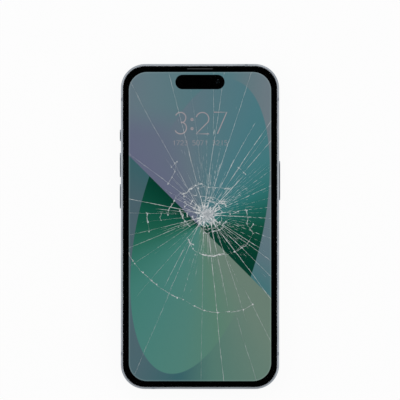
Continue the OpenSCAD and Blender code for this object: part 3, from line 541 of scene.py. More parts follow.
bright_rounds = [
    ([(206, 39.5), (212, 39.5)], 0.2), ([(221, 39.2), (234, 38.9), (244, 39.4)], 0.12),
    ([(246, 39.6), (250, 39.8)], 0.18), ([(262, 41.6), (268.5, 43.2), (276, 44.4)], 0.11),
    ([(282, 44.8), (291, 45.8)], 0.12), ([(291, 45.8), (297, 45.4)], 0.1),
    ([(232, 14), (245, 14.8)], 0.36), ([(259, 17.6), (268, 18), (287, 18.8)], 0.36),
    ([(288, 18.9), (293, 19.2)], 0.3), ([(306, 20.6), (316, 21.6), (327, 22.3)], 0.24),
    ([(341, 20.4), (349, 21.2)], 0.22), ([(347, 18.6), (366, 18)], 0.24),
    ([(178, 27.5), (186, 27)], 0.36), ([(178.5, 20.8), (187, 20.9)], 0.16),
    ([(151, 16.4), (163, 16.8), (174, 17.6)], 0.26), ([(171, 12.5), (180, 11.8), (188, 11.2)], 0.34),
    ([(150, 11.8), (160, 10.8)], 0.3), ([(100, 14.2), (112, 14.3), (122, 13.9)], 0.34),
    ([(122, 27.6), (127, 27)], 0.2), ([(26, 9.2), (41, 8.6)], 0.36), ([(50, 15.4), (56, 14.4)], 0.32),
    ([(28, 6.2), (50, 6.6)], 0.3), ([(70, 7.4), (92, 7.6)], 0.28), ([(136, 9.4), (146, 9)], 0.34),
    ([(118, 10.6), (124, 10.8)], 0.3), ([(176, 9.2), (184, 9)], 0.36),
    ([(276, 6.3), (290, 6), (304, 6.5)], 0.3), ([(312, 6.8), (330, 6.4)], 0.34),
    ([(8, 6.6), (20, 6.2)], 0.3), ([(60, 6.8), (78, 6.2)], 0.32), ([(186, 6.8), (200, 6.4)], 0.3),
    ([(140, 6.9), (156, 6.5)], 0.3), ([(36, 9.6), (42.7, 8.7), (50, 8.1)], 0.5),
    ([(124, 14), (133, 13.7)], 0.22), ([(134, 13.8), (142, 15.6)], 0.3), ([(305, 8.6), (318, 8.9)], 0.34),
    ([(286, 8.2), (296, 8)], 0.3), ([(326, 8.4), (336, 8.8)], 0.3), ([(2, 10.4), (6, 14)], 0.26),
    ([(216, 5.2), (232, 4.9)], 0.32), ([(238, 5.1), (258, 5.4)], 0.34), ([(262, 4.8), (274, 5.0)], 0.3)]


def strip_outline(path, widths):
    """The outline of a ribbon along a path whose width is given at each point."""
    off = sides_of(path) * np.asarray(widths)[:, None] / 2
    return np.concatenate([path + off, (path - off)[::-1]])


printed_share = 0.3


def lit_share(path):
    """1 over the lit area and printed_share over the black print, where a crack stays a closed hairline."""
    beyond = np.max(np.abs(path) - active_half, axis=1)
    pill = np.max(np.abs(path - pill_middle) - pill_half, axis=1)
    return np.where((beyond > 0) | (pill < 0), printed_share, 1.0)


# how a crack is drawn, in mm: the spacing of its points and their sideways jitter, how fast it dwindles
# outwards, how far its flare reaches from the crushed spot, its longest inner tip and its least width
radial_step, radial_jitter = 0.8, 0.03
dwindle, flare_reach, longest_tip, least_width = 22, 1.1, 6, 0.012
round_step, round_jitter, round_bend = 0.5, 0.05, 1.7
# how much of its width a crack keeps at its very tip
tip_share = 0.15


def radial_outline(direction, lean, inner, outer, width, dashed, flare=0.0):
    """A crack along a radius: it flares near the crushed spot, dwindles outwards and at its tip, and is
    uneven; a dashed one nearly closes in every period of about 3 mm."""
    end = min(outer, farthest)
    count = max(4, int((end - inner) / radial_step))
    radius = np.linspace(inner, end, count)
    path = crack_at(direction, radius, lean)
    path[1:-1] += dice.normal(0, radial_jitter, (count - 2, 2))
    size = width * (0.55 + 0.75 * np.exp(-(radius - crush_radius) / dwindle))
    size *= 1 + 0.3 * np.sin(radius * dice.uniform(0.5, 0.9) + direction) + 0.25 * dice.normal(0, 1, count)
    if dashed:
        size *= 0.1 + 1.15 * (np.sin(radius * 2 * np.pi / dice.uniform(2.2, 3.4) + direction) > -0.25)
    size += flare * np.exp(-np.maximum(radius - crush_radius, 0) / flare_reach)
    if inner > crush_radius - 0.5:
        size *= np.clip((radius - inner) / min(longest_tip, 0.4 * (end - inner)), tip_share, 1)
    if outer < past_edge:
        size *= np.clip((end - radius) / (0.2 * (end - inner)), tip_share, 1)
    return strip_outline(path, np.maximum(size, least_width) * lit_share(path))


def round_outline(corners, width):
    """A crack that runs round the blow from corner to corner: it steps in and out where it meets the
    radial cracks, and all but closes in places."""
    direction, radius = np.array(corners, float).T
    arc_length = np.concatenate([[0], np.cumsum(np.radians(np.abs(np.diff(direction))) * radius[:-1] + 0.5)])
    count = max(4, int(arc_length[-1] / round_step))
    steps = np.linspace(0, arc_length[-1], count)
    bends = np.linspace(0, arc_length[-1], max(3, int(arc_length[-1] / round_bend)))
    unevenness = 0.42 * min(1, 12 / radius[0])
    step_out = np.interp(steps, bends, unevenness * dice.normal(0, 1, len(bends)))
    path = crack_at(np.interp(steps, arc_length, direction), np.interp(steps, arc_length, radius) + step_out)
    path[1:-1] += dice.normal(0, round_jitter, (count - 2, 2))
    opening = np.interp(steps, bends, dice.uniform(0.15, 1.5, len(bends)))
    size = width * np.clip(opening + 0.3 * dice.normal(0, 1, count), 0.12, 2)
    return strip_outline(path, size * lit_share(path))


def around(middle, turn, reach):
    """Points round a middle, from a direction in radians and a distance for each."""
    return middle + np.column_stack([np.cos(turn) * reach, np.sin(turn) * reach])


def chip_outline(place, size):
    """A small spall of irregular outline."""
    count = int(dice.integers(5, 8))
    turn = np.linspace(0, 2 * np.pi, count, endpoint=False) + dice.normal(0, 0.25, count)
    return around(place, turn, size * (0.55 + 0.6 * dice.random(count)))


# a crack that stays in the skin opens and flares less than one that goes through
through_opening, through_flare = 1.12, 0.6
skin_opening, skin_flare = 0.66, 0.05
corner_chip = 0.36
outlines = []
for direction, lean, inner, outer, width, dashed in through_cracks:
    outlines.append(radial_outline(direction, lean, inner, outer, width * through_opening, dashed,
                                   through_flare if inner < crush_radius else 0.0))
for direction, lean, inner, outer, width, dashed in skin_cracks:
    outlines.append(radial_outline(direction, lean, inner, outer, width * skin_opening, dashed, skin_flare))
for crack in bright_stretches:
    outlines.append(radial_outline(*crack))
for corners, width in round_cracks + bright_rounds:
    outlines.append(round_outline(corners, width))
for corners, width in round_cracks + bright_rounds:
    for direction, radius in corners:
        outlines.append(chip_outline(crack_at(direction, radius), corner_chip * dice.uniform(0.5, 1.3)))
# bridges: close round the blow, short cracks run from one ray to the next and part it into cells
rays = sorted(crack[0] for crack in through_cracks if crack[2] < crush_radius)
bridge_share, bridge_width = 0.7, 0.16
for ray, next_ray in zip(rays, rays[1:] + [rays[0] + 360]):
    for bridge_radius in (5.0, 6.4):
        if dice.random() < bridge_share:
            near, far = bridge_radius + dice.normal(0, 0.35, 2)
            outlines.append(round_outline([(ray, near), (next_ray, far)], bridge_width))


def add_hair(direction, start, longest, thinnest, thickest):
    """One hair: a short, very thin crack along a radius, of a length and width drawn between two limits."""
    outlines.append(radial_outline(direction, 0, start, start + dice.uniform(1, longest),
                                   dice.uniform(thinnest, thickest), 0))


# hairs lie between the other cracks, closest together near the blow, and crowd in three sectors
hair_count, crowd_count = 100, 30
for _ in range(hair_count):
    start = crush_radius + 0.3 + dice.exponential(7)
    add_hair(dice.uniform(0, 360), start, 5, 0.03, 0.075)
for sector in (90, 28, 318):
    for _ in range(crowd_count):
        start = 9 + dice.exponential(9)
        add_hair(dice.normal(sector, 13), start, 4, 0.05, 0.11)
# flecks: spalls scattered along the cracks
fleck_count = 220
for _ in range(fleck_count):
    crack = through_cracks[int(dice.integers(len(through_cracks)))]
    radius = crack[2] + dice.exponential(9)
    if radius < min(crack[3], 40):
        outlines.append(chip_outline(crack_at(crack[0], radius, crack[1]), dice.uniform(0.08, 0.24)))

crush_count, crush_lobes = 60, 12
crush_turn = np.linspace(0, 2 * np.pi, crush_count, endpoint=False)
crush_reach = crush_radius * (0.87 + 0.13 * np.sin(crush_turn * crush_lobes)
                              + 0.1 * dice.normal(0, 1, crush_count))
crush_outline = around(blow, crush_turn, crush_reach)
# the round ends of the pill and the slot fall a hair short of half circles, so that no point is doubled
short_of_round = 1e-3
regions = [
    rounded_rect(*(glass_half - edge_round), glass_corner - edge_round),
    rounded_rect(*ear_half, ear_half[1] - short_of_round, 6) + ear_middle,
    rounded_rect(*active_half, active_corner),
    rounded_rect(*pill_half, pill_half[1] - short_of_round) + pill_middle,
    crush_outline]
OUTLINE, EAR, ACTIVE, PILL, CRUSH, CRACK = range(6)

# the plane is divided along every outline; each small triangle then knows what it lies in
all_outlines = regions + outlines
outline_starts = np.cumsum([0] + [len(outline) for outline in all_outlines])
outline_sides = [np.column_stack([np.arange(len(outline)), np.roll(np.arange(len(outline)), -1)]) + start
                 for start, outline in zip(outline_starts, all_outlines)]
# the crushed spot's crumbs lie along rays, closer together towards the middle
seed_rays, seed_rows = 36, 9
seed_count = seed_rays * seed_rows
crumb_turn = np.radians(np.repeat(np.arange(seed_rays) * 360 / seed_rays, seed_rows)
                        + dice.normal(0, 2.2, seed_count))
crumb_reach = (crush_radius * 0.9 * np.tile(np.linspace(0.12, 1, seed_rows), seed_rays)
               * dice.uniform(0.85, 1, seed_count))
crumbs = around(blow, crumb_turn, crumb_reach)
flat_points = [Vector(point) for point in np.concatenate(all_outlines + [crumbs]).tolist()]
plane = geometry.delaunay_2d_cdt(flat_points, np.concatenate(outline_sides).tolist(), [], 0, 1e-4)
spots = np.array([list(spot) for spot in plane[0]])
triangles = np.array(plane[2])


def encloses(outline, points):
    """Whether a closed outline winds round each point: its upward crossings less its downward ones."""
    near = np.flatnonzero(np.all((points >= outline.min(axis=0)) & (points <= outline.max(axis=0)), axis=1))
    px, py = points[near].T[:, :, None]
    (x0, y0), (x1, y1) = outline.T, np.roll(outline, -1, axis=0).T
    left = (x1 - x0) * (py - y0) - (px - x0) * (y1 - y0)
    upward = np.sum((y0 <= py) & (y1 > py) & (left > 0), axis=1)
    downward = np.sum((y0 > py) & (y1 <= py) & (left < 0), axis=1)
    inside = np.zeros(len(points), bool)
    inside[near] = upward != downward
    return inside


triangle_middles = spots[triangles].mean(axis=1)
member = np.zeros((len(triangles), CRACK + 1), bool)
for k, outline in enumerate(all_outlines):
    member[:, min(k, CRACK)] |= encloses(outline, triangle_middles)
in_glass = member[:, OUTLINE] & ~member[:, EAR]
in_crush = in_glass & member[:, CRUSH]
in_crack = in_glass & member[:, CRACK] & ~in_crush
in_shard = in_glass & ~in_crack & ~in_crush


def edges_of(faces):
    """Every triangle's three edges, each in the direction that its triangle takes it."""
    return np.concatenate([faces[:, [0, 1]], faces[:, [1, 2]], faces[:, [2, 0]]])


def group_of(faces):
    """Numbers the connected groups of triangles that share edges: two triangles on one edge take the
    lower of their numbers until nothing changes."""
    edges = np.sort(edges_of(faces), axis=1)
    owner = np.tile(np.arange(len(faces)), 3)
    order = np.lexsort(edges.T)
    edges, owner = edges[order], owner[order]
    same = np.all(edges[1:] == edges[:-1], axis=1)
    a, b = owner[:-1][same], owner[1:][same]
    label = np.arange(len(faces))
    while True:
        low = np.minimum(label[a], label[b])
        before = label.copy()
        np.minimum.at(label, a, low)
        np.minimum.at(label, b, low)
        label = label[label]
        if np.array_equal(label, before):
            return np.unique(label, return_inverse=True)[1]


# ---- Cover glass: the shards ------------------------------------------------------------
# Each shard is still stuck to the display by the optical glue, and a few near the blow
# have tipped by a fraction of a degree. The glass's outer edge is ground round.
z_top = glass_high[2]
glue_gap = 0.03
z_bottom = glass_low[2] + glue_gap
shard_triangles = triangles[in_shard]
shard = group_of(shard_triangles)
pairs, inverse = np.unique(np.stack([np.repeat(shard, 3), shard_triangles.ravel()], axis=1), axis=0,
                           return_inverse=True)
top_faces = inverse.reshape(-1, 3)
owner, xy = pairs[:, 0], spots[pairs[:, 1]]
shard_count = shard.max() + 1
tally = np.bincount(owner, minlength=shard_count)
middle = np.stack([np.bincount(owner, xy[:, k], shard_count) / tally for k in (0, 1)], axis=1)
away = np.linalg.norm(middle - blow, axis=1)
tip = dice.normal(0, 1, (shard_count, 2)) * (0.004 * np.exp(-away / 16) + 0.0006)[:, None]
# a tipped shard sinks: its highest corner stays at the glass's top, and none goes deeper than deepest_tip
deepest_tip = 0.12
rise = np.sum((xy - middle[owner]) * tip[owner], axis=1)
highest = np.full(shard_count, -1e9)
np.maximum.at(highest, owner, rise)
rise = np.maximum(rise - highest[owner], -deepest_tip)
directed = edges_of(top_faces)
_, where, count = np.unique(np.sort(directed, axis=1), axis=0, return_inverse=True, return_counts=True)
open_edges = directed[count[where.ravel()] == 1]
# how far a point lies outside the corners' middles, which way is out, and whether it is on the ground rim
rim_tolerance = 0.003
folded_xy = np.abs(xy) - (glass_half - glass_corner)
outward = np.sign(xy) * np.maximum(folded_xy, 0)
reach_out = np.linalg.norm(outward, axis=1)
on_rim = np.abs(reach_out - (glass_corner - edge_round)) < rim_tolerance
outward = np.where(on_rim[:, None], outward / np.maximum(reach_out, 1e-9)[:, None], 0)
layers = [np.column_stack([xy, z_top + rise])]
for angle in np.linspace(0, math.pi / 2, 5)[1:]:
    layers.append(np.column_stack([xy + outward * edge_round * math.sin(angle),
                                   z_top + rise - edge_round * (1 - math.cos(angle)) * on_rim]))
layers.append(np.column_stack([xy + outward * edge_round, np.full(len(xy), z_bottom)]))
layers.append(np.column_stack([xy, np.full(len(xy), z_bottom)]))
total = len(xy)
to_bottom = (len(layers) - 1) * total
rim_edge = on_rim[open_edges].all(axis=1)
u, v = open_edges[rim_edge].T
rim_quads = np.concatenate([np.column_stack([v, u, u + total, v + total]) + row * total
                            for row in range(len(layers) - 1)])
u, v = open_edges[~rim_edge].T
crack_quads = np.column_stack([v, u, u + to_bottom, v + to_bottom])
# the ground edge's lower rows are inked, and so is every wall that is not over the lit area
CLEAR, BROKEN, INKED, GLUED = range(4)
wall_middle = (xy[u] + xy[v]) / 2
over_lit = encloses(regions[ACTIVE], wall_middle) & ~encloses(regions[PILL], wall_middle)
kinds = np.concatenate([np.repeat([CLEAR, GLUED], len(top_faces)),
                        np.repeat([CLEAR, CLEAR, INKED, INKED, INKED, INKED], rim_edge.sum()),
                        np.where(over_lit, BROKEN, INKED)])
smooths = np.repeat([False, True, False], [2 * len(top_faces), len(rim_quads), len(crack_quads)])

# Aluminosilicate glass: colourless, index 1.5, polished to a mirror that finger grease smears a little.
clear_glass, glass_tree, glass_shader, glass_place = begin_material(
    "aluminosilicate_glass", IOR=1.5, Transmission_Weight=1.0, Base_Color=linear("fbfdfc"))
smear = add_node(glass_tree, "TexNoise", {"Vector": glass_place, "Scale": 0.08, "Detail": 5.0})
smear_rough = add_node(glass_tree, "MapRange", {"Value": smear.outputs["Fac"], 1: 0.45, 2: 0.75,
                                                3: 0.0, 4: 0.03})
glass_tree.links.new(smear_rough.outputs[0], glass_shader.inputs["Roughness"])
# Optically clear adhesive: it wets the glass's underside and has nearly its index, so that face
# neither mirrors nor bends what lies behind it.
glue = finish_clouded("optically_clear_adhesive", [(0.3, "fafcfb"), (0.7, "fdfefd")], 0.3,
                      IOR=1.0, Roughness=0.0, Transmission_Weight=1.0)
# A broken face is conchoidal and throws light about, so a crack shows as frost.
broken_glass = finish_clouded("broken_glass_face", [(0.3, "b4baba"), (0.65, "dcdedf")], 0.9, 3.0,
                              IOR=1.5, Roughness=0.35)
# Black enamel ink, screen-printed in three coats: matt, and perfectly black behind glass.
ink = finish_clouded("black_enamel_ink", [(0.3, "000000"), (0.7, "020202")], 2.0,
                     Roughness=0.6, Specular_IOR_Level=0.0)

caps = np.concatenate([top_faces, (top_faces + to_bottom)[:, ::-1]])
walls = np.concatenate([rim_quads, crack_quads])
used = np.unique(np.concatenate([caps.ravel(), walls.ravel()]))
shard_faces = np.searchsorted(used, caps).tolist() + np.searchsorted(used, walls).tolist()
shards = mesh_piece("cover_glass_shards", np.concatenate(layers)[used], shard_faces,
                    [clear_glass, broken_glass, ink, glue], "cover_glass", face_materials=kinds,
                    smooth=smooths)
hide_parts("cover_glass")

# ---- Cover glass: broken faces and crushed spot -----------------------------------------
# Seen from above, each crack is the strip of broken face between two shards. Where the
# glass is printed black behind, the strip is closed and dark, so only the lit part shows.
visible = member[:, ACTIVE] & ~member[:, PILL]
used, renumbered = np.unique(triangles[in_crack & visible], return_inverse=True)
crack_depth = 0.02 + 0.07 * dice.random(len(used))
mesh_piece("crack_faces", np.column_stack([spots[used], z_top - crack_depth]), renumbered.reshape(-1, 3),
           [broken_glass], "cover_glass")

# Each crumb is a small prism that has drawn in a little from its neighbours; towards the rim of the
# crushed spot up to three in ten have fallen out, and towards the blow they are pressed in deeper.
crumb_foot_depth = 0.55
crumb_corner = spots[triangles[in_crush & visible]]
crumb_away = np.linalg.norm(crumb_corner.mean(axis=1) - blow, axis=1)
crumb_corner = crumb_corner[dice.random(len(crumb_corner)) > 0.3 * np.clip((crumb_away - 1.8) / 2, 0, 1)]
crumb_count = len(crumb_corner)
crumb_middle = crumb_corner.mean(axis=1, keepdims=True)
crumb_corner = crumb_middle + (crumb_corner - crumb_middle) * dice.uniform(0.93, 1.0, (crumb_count, 1, 1))
crumb_away = np.linalg.norm(crumb_middle - blow, axis=2)[:, 0]
sink = 0.05 + 0.22 * np.exp(-(crumb_away / 2.2) ** 2) + 0.1 * dice.random(crumb_count)
crumb_z = np.minimum(z_top - sink[:, None] + dice.normal(0, 0.03, (crumb_count, 3)), z_top)
crumb_top = np.concatenate([crumb_corner, crumb_z[:, :, None]], axis=2).reshape(-1, 3)
crumb_foot = crumb_top.copy()
crumb_foot[:, 2] = z_top - crumb_foot_depth
base = np.arange(crumb_count)[:, None] * 3
lift = len(crumb_top)
crumb_walls = np.concatenate([base + [(k + 1) % 3, k, k + lift, (k + 1) % 3 + lift] for k in range(3)])
crumb_faces = (base + [0, 1, 2]).tolist() + crumb_walls.tolist() + (base + [2, 1, 0] + lift).tolist()
# Crushed glass: powder-fine crumbs, a shade greyer than the cracks because light sinks in.
crushed, crushed_tree, crushed_shader, crushed_place = begin_material("crushed_glass", IOR=1.5, Roughness=0.5)
from_blow = add_node(crushed_tree, "Mapping", {"Vector": crushed_place,
                                               "Location": (*(-blow).tolist(), 0)}).outputs[0]
from_blow = add_node(crushed_tree, "VectorMath", {0: from_blow, 1: (1, 1, 0)},
                     operation="MULTIPLY").outputs[0]
ray_way = add_node(crushed_tree, "VectorMath", {0: from_blow}, operation="NORMALIZE").outputs[0]
ray_grain = add_node(crushed_tree, "TexNoise", {"Vector": ray_way, "Scale": 5.0}).outputs["Fac"]
powder = add_node(crushed_tree, "TexVoronoi", {"Vector": crushed_place, "Scale": 1.1}).outputs["Distance"]
powder = add_node(crushed_tree, "Math", {0: powder, 1: -0.35, 2: ray_grain},
                  operation="MULTIPLY_ADD").outputs[0]
powder_tone = add_node(crushed_tree, "ValToRGB", {"Fac": powder})
set_ramp(powder_tone, [(0.16, "9ea5ab"), (0.34, "ced1d4"), (0.52, "f0f1f2")])
# painted shade: within 2.2 mm of the blow, where the crumbs sit deepest, the colour is pulled up to three
# tenths of the way to a darker blue-grey
blow_reach = add_node(crushed_tree, "VectorMath", {0: from_blow}, operation="LENGTH").outputs["Value"]
pit_shade_share = add_node(crushed_tree, "MapRange", {"Value": blow_reach, 1: 0.3, 2: 2.2,
                                                 3: 0.3, 4: 0.0}).outputs[0]
pit_shade_tone = add_node(crushed_tree, "Mix", {0: pit_shade_share, 6: powder_tone.outputs["Color"],
                                           7: linear("9aa3ac")}, data_type="RGBA").outputs[2]
crushed_tree.links.new(pit_shade_tone, crushed_shader.inputs["Base Color"])
mesh_piece("crushed_spot", np.concatenate([crumb_top, crumb_foot]), crumb_faces, [crushed], "cover_glass")

# ---- Black border print -----------------------------------------------------------------
# Three coats of black enamel ink, screen-printed on the glass's underside round the lit
# area and over the pill, so they look perfectly black through the glass.
print_inset = 0.01
z_ink = z_bottom - glue_gap / 2
print_outer = rounded_rect(*(glass_half - print_inset), glass_corner - print_inset)
ring_count = len(print_outer)
ink_outline = np.concatenate([print_outer, regions[ACTIVE], regions[PILL]])
i = np.arange(ring_count)
j = (i + 1) % ring_count
ink_faces = np.column_stack([i, j, j + ring_count, i + ring_count]).tolist()
ink_faces.append(list(range(2 * ring_count, len(ink_outline))))
mesh_piece("border_print", np.column_stack([ink_outline, np.full(len(ink_outline), z_ink)]), ink_faces, [ink],
           "black_plastic")

# The front lens looks out through a clear spot in the pill: a dark coated disc whose faint emission is a
# painted glint.
lens_x, lens_y, _ = sum(box_mm("front_camera")) / 2
lens_with_painted_glint = finish_clouded("front_lens_painted_glint", [(0.35, "0c1013"), (0.65, "161c20")], 0.8,
                        sockets=("Base Color", "Emission Color"), Roughness=0.1, Emission_Strength=0.1)
lens_disc = arc(lens_x, lens_y, 0.95, 0, 350, 36)
mesh_piece("front_lens", np.column_stack([lens_disc, np.full(36, z_ink + thin_gap)]), [range(36)], [lens_with_painted_glint],
           "lens_glass")

# ---- Back glass -------------------------------------------------------------------------
# Glass coloured right through and etched to a soft matt, a little paler than the rail.
etched = finish_grain("etched_coloured_glass", "a9b3bf", "a2acb9", 25, 0.12, (0.28, 0.36), 0.12,
                      Coat_Weight=0.25)
softened("back_glass", "rear_glass", 0.25, etched, 3)

# ---- Rear lenses and flash --------------------------------------------------------------
# Each bezel is turned from the rail's alloy and polished; a sapphire disc closes it. The
# flash sits behind a diffuser of frosted polymer.
polished = finish_grain("polished_bezel_aluminium", "b9bec7", "aeb4be", 6, 0.2, (0.16, 0.24), 0.1,
                        Metallic=1.0)
softened("main_lens_bezel", "main_bezel_ring", 0.15, polished, 3)
softened("wide_lens_bezel", "wide_bezel_ring", 0.15, polished, 3)
clear_sapphire = finish_clouded("clear_sapphire", [(0.3, "f6f8fc"), (0.7, "fafcff")], 0.3,
                                IOR=1.4, Roughness=0.01, Transmission_Weight=1.0)

# A multi-layer coating tints the front element violet in the middle and green towards its rim, and
# takes most of its gloss away. The element's own height tells the middle from the rim.
lens_coating, coating_tree, coating_shader, coating_place = begin_material(
    "coated_lens_element", IOR=1.3, Roughness=0.04)
dome_depth = add_node(coating_tree, "SeparateXYZ", {0: coating_place}).outputs["Z"]
camera_front = box_mm("main_camera")[0][2]
dome_depth = add_node(coating_tree, "MapRange", {"Value": dome_depth, 1: camera_front + 0.3,
                                                 2: camera_front + 0.6}).outputs[0]
coating_tone = add_node(coating_tree, "ValToRGB", {"Fac": dome_depth})
set_ramp(coating_tone, [(0.05, "07070e"), (0.2, "120f26"), (0.5, "0d262c"), (0.9, "123026")])
coating_tree.links.new(coating_tone.outputs["Color"], coating_shader.inputs["Base Color"])


def turned(x, y, profile, count=72):
    """A surface of revolution about an upright axis at x, y: every profile point (radius, z) makes one
    ring at radius * (cos, sin), and the faces between two rings look away from the profile's left."""
    turn = 2 * np.pi * np.arange(count) / count
    radius, z = np.array(profile, float).T[:, :, None]
    rings = np.stack([x + radius * np.cos(turn), y + radius * np.sin(turn), z + 0 * turn],
                     axis=-1).reshape(-1, 3)
    row, i = np.meshgrid(np.arange(len(profile) - 1) * count, np.arange(count), indexing="ij")
    j = (i + 1) % count
    return rings, np.stack([row + count + i, row + count + j, row + j, row + i], axis=-1).reshape(-1, 4)


def block(low, high):
    """The corners and faces of a box: every corner is the low one plus 0 or 1 times the size."""
    grid = np.array([[x, y, z] for x in (0, 1) for y in (0, 1) for z in (0, 1)])
    sides = np.array([[0, 1, 3, 2], [4, 6, 7, 5], [0, 4, 5, 1], [2, 3, 7, 6], [0, 2, 6, 4], [1, 5, 7, 3]])
    return np.array(low) + grid * (np.array(high) - np.array(low)), sides


# Each rear camera is a black housing with a stepped barrel, so that stray light dies in the steps.
barrel_length = 0.8
step_count, step_in, step_down = 3, 0.45, 0.2
window_hole, print_z = 6.15, 0.69
for camera_name, barrel in (("main", 4.7), ("wide", 4.1)):
    low, high = box_mm(camera_name + "_camera")
    x, y, _ = (low + high) / 2
    front, housing_z = low[2], low[2] + barrel_length
    profile = [(barrel, housing_z), (barrel, front), (barrel - 0.4, front)]
    for k in range(step_count):
        tread = barrel - 0.5 - step_in * k
        profile += [(tread, front + step_down * (k + 1)), (tread - 0.35, front + step_down * (k + 1))]
    element = profile[-1][0]
    dome = np.linspace(1, 0, 9)
    profile += [(element * t, front + 0.3 + 0.3 * t * t) for t in dome]
    barrel_mesh, barrel_faces = turned(x, y, profile)
    box_mesh, box_faces = block([low[0], low[1], housing_z], high)
    ring_of_face = np.repeat(np.arange(len(profile) - 1), len(barrel_faces) // (len(profile) - 1))
    kinds = np.concatenate([ring_of_face >= len(profile) - len(dome), np.zeros(len(box_faces), bool)])
    housing = mesh_piece(camera_name + "_camera_module", np.concatenate([barrel_mesh, box_mesh]),
                         barrel_faces.tolist() + (box_faces + len(barrel_mesh)).tolist(),
                         [black_resin, lens_coating], "black_plastic", face_materials=kinds)
    weld(housing.data)
    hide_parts(camera_name + "_camera")
    # the window's rim is printed black on its inner face, so the glue under it stays unseen
    rim_print, rim_faces = turned(x, y, [(window_hole, print_z), (barrel - 0.25, print_z)])
    mesh_piece(camera_name + "_window_print", rim_print, rim_faces, [ink], "black_plastic")
    softened(camera_name + "_lens_window", camera_name + "_window", 0.1, clear_sapphire)

# The flash's diffuser is a moulded Fresnel disc of frosted polymer: saw-tooth ridges ring its
# middle, and the phosphor of the lamp behind tints that middle yellow.
flash_low, flash_high = box_mm("flash_diffuser")
flash_x, flash_y, _ = (flash_low + flash_high) / 2
flash_radius = (flash_high[1] - flash_low[1]) / 2
flash_top = flash_high[2]
flash_bevel = 0.08
ridge_count, ridge_pitch, ridge_depth = 6, 0.38, 0.12
frosted, frosted_tree, frosted_shader, frosted_place = begin_material("frosted_polymer", Roughness=0.35)
centred = add_node(frosted_tree, "Mapping", {"Vector": frosted_place,
                                             "Location": (-flash_x, -flash_y, 0)}).outputs[0]
middle_out = add_node(frosted_tree, "VectorMath", {0: centred, 1: (1, 1, 0)}, operation="MULTIPLY").outputs[0]
middle_out = add_node(frosted_tree, "VectorMath", {0: middle_out}, operation="LENGTH").outputs["Value"]
cloudy = add_node(frosted_tree, "TexNoise", {"Vector": frosted_place, "Scale": 3.0}).outputs["Fac"]
middle_out = add_node(frosted_tree, "Math", {0: cloudy, 1: 0.4, 2: middle_out},
                      operation="MULTIPLY_ADD").outputs[0]
middle_out = add_node(frosted_tree, "MapRange", {"Value": middle_out, 1: 0.0, 2: 3.0}).outputs[0]
flash_tone = add_node(frosted_tree, "ValToRGB", {"Fac": middle_out})
set_ramp(flash_tone, [(0.2, "d9bf5a"), (0.45, "e4d58f"), (0.7, "ebe4ca"), (1.0, "ddd7c2")])
frosted_tree.links.new(flash_tone.outputs["Color"], frosted_shader.inputs["Base Color"])
ridge_profile = [(0, flash_top), (flash_radius, flash_top), (flash_radius, flash_bevel),
                 (flash_radius - flash_bevel, 0)]
for k in range(ridge_count):
    ridge = flash_radius - 0.35 - ridge_pitch * k
    ridge_profile += [(ridge, 0), (ridge - 0.02, ridge_depth)]
ridge_profile += [(0.25, 0.03), (0, 0.02)]
flash_window = mesh_piece("flash_window", *turned(flash_x, flash_y, ridge_profile), [frosted], "flash_lens")
weld(flash_window.data)
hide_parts("flash_diffuser")

# ---- Socket contacts --------------------------------------------------------------------
# Twelve gold-plated springs on each side of the tongue, 0.25 mm wide and 0.5 mm apart,
# moulded in with the tongue so that only their flats stand proud.
contact_count, contact_pitch, contact_width = 12, 0.5, 0.25
contact_inner, contact_outer = 0.345, 0.37
tongue_low, tongue_high = box_mm("usb_tongue")
tongue_z = (tongue_low[2] + tongue_high[2]) / 2
contact_tip, contact_root = tongue_low[1] + 0.3, tongue_low[1] + 3.6
gold = finish_grain("gold_plate", "e2bd62", "d4ab50", 0.5, 0.05, (0.18, 0.28), 0.1, Metallic=1.0)
contact_mesh, contact_faces = [], []
for k in range(contact_count):
    for side in (-1, 1):
        x = (k - (contact_count - 1) / 2) * contact_pitch
        low_z, high_z = sorted((tongue_z + side * contact_inner, tongue_z + side * contact_outer))
        corner_set, side_set = block((x - contact_width / 2, contact_tip, low_z),
                                     (x + contact_width / 2, contact_root, high_z))
        contact_faces.append(side_set + 8 * len(contact_mesh))
        contact_mesh.append(corner_set)
mesh_piece("socket_contacts", np.concatenate(contact_mesh), np.concatenate(contact_faces), [gold], "copper")

# ---- Floor, light and camera ------------------------------------------------------------
# A plain pale floor, three soft lamps (left, right and beyond the phone), and a camera straight above.
floor_half, floor_z = 3, -0.00002
floor_corners = [(x * floor_half, y * floor_half, floor_z) for x, y in ((-1, -1), (1, -1), (1, 1), (-1, 1))]
floor_mesh = bpy.data.meshes.new("floor")
floor_mesh.from_pydata(floor_corners, [], [(0, 1, 2, 3)])
floor = linked("floor", floor_mesh)
paper, paper_tree, paper_shader, _ = begin_material("pale_floor", Roughness=0.9, Base_Color=linear("f2f2f2"),
                                                    Specular_IOR_Level=0.0)
floor_ray = add_node(paper_tree, "LightPath").outputs
seen = add_node(paper_tree, "Math", {0: floor_ray["Is Camera Ray"], 1: floor_ray["Is Glossy Ray"]},
                operation="MAXIMUM")
seen = add_node(paper_tree, "Math", {0: seen.outputs[0], 1: floor_ray["Is Transmission Ray"]},
                operation="MAXIMUM")
share = add_node(paper_tree, "Math", {0: seen.outputs[0], 1: 0.92}, operation="MULTIPLY")
white = add_node(paper_tree, "Emission", {"Color": (1, 1, 1, 1), "Strength": 1.0})
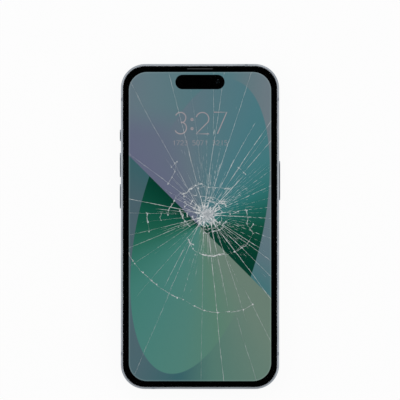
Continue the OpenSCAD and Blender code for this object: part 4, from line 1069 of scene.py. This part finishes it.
mixed = add_node(paper_tree, "MixShader", {0: share.outputs[0], 1: paper_shader.outputs[0],
                                           2: white.outputs[0]})
paper_tree.links.new(mixed.outputs[0], paper_tree.nodes["Material Output"].inputs["Surface"])
floor_mesh.materials.append(paper)

world = bpy.data.worlds.new("studio")
bpy.context.scene.world = world
world.use_nodes = True
sky = world.node_tree
sky.nodes.clear()
# what mirrors see: pale all round, and a dark hood straight above
sky_place = add_node(sky, "TexCoord").outputs["Generated"]
up = add_node(sky, "SeparateXYZ", {0: sky_place}).outputs["Z"]
hood = add_node(sky, "MapRange", {"Value": up, 1: 0.9, 2: 0.985, 3: 0.9, 4: 0.01},
                interpolation_type="SMOOTHSTEP")
sky_ray = add_node(sky, "LightPath").outputs
mirrored = add_node(sky, "MapRange", {"Value": sky_ray["Is Glossy Ray"], 3: 0.6, 4: hood.outputs[0]})
direct = add_node(sky, "Math", {0: sky_ray["Is Camera Ray"], 1: mirrored.outputs[0]}, operation="MAXIMUM")
backdrop = add_node(sky, "Background", {"Color": (1, 1, 1, 1), "Strength": direct.outputs[0]})
add_node(sky, "OutputWorld", {"Surface": backdrop.outputs[0]})


def soft_lamp(name, place, size, power):
    """A square lamp of that size in metres, aimed at the phone."""
    light = bpy.data.lights.new(name, "AREA")
    light.size = size
    light.energy = power
    lamp = linked(name, light)
    lamp.location = place
    lamp.rotation_mode = "QUATERNION"
    lamp.rotation_quaternion = Vector(place).to_track_quat("Z", "Y")


soft_lamp("left_lamp", (-1.2, 0.35, 0.95), 1.2, 4.5)
soft_lamp("right_lamp", (1.2, -0.1, 0.95), 1.2, 4)
soft_lamp("far_lamp", (0.15, 1.3, 0.9), 1.2, 3.5)

focal = 200.0
sensor = 36.0
shown_half = 0.09035
height = glass_high[2] * MM + shown_half * focal / (sensor / 2)
camera_data = bpy.data.cameras.new("camera")
camera_data.lens = focal
camera_data.sensor_width = sensor
camera = linked("camera", camera_data)
camera.location = (0, 0.012, height)
bpy.context.scene.camera = camera
bpy.context.scene.view_settings.view_transform = "Standard"
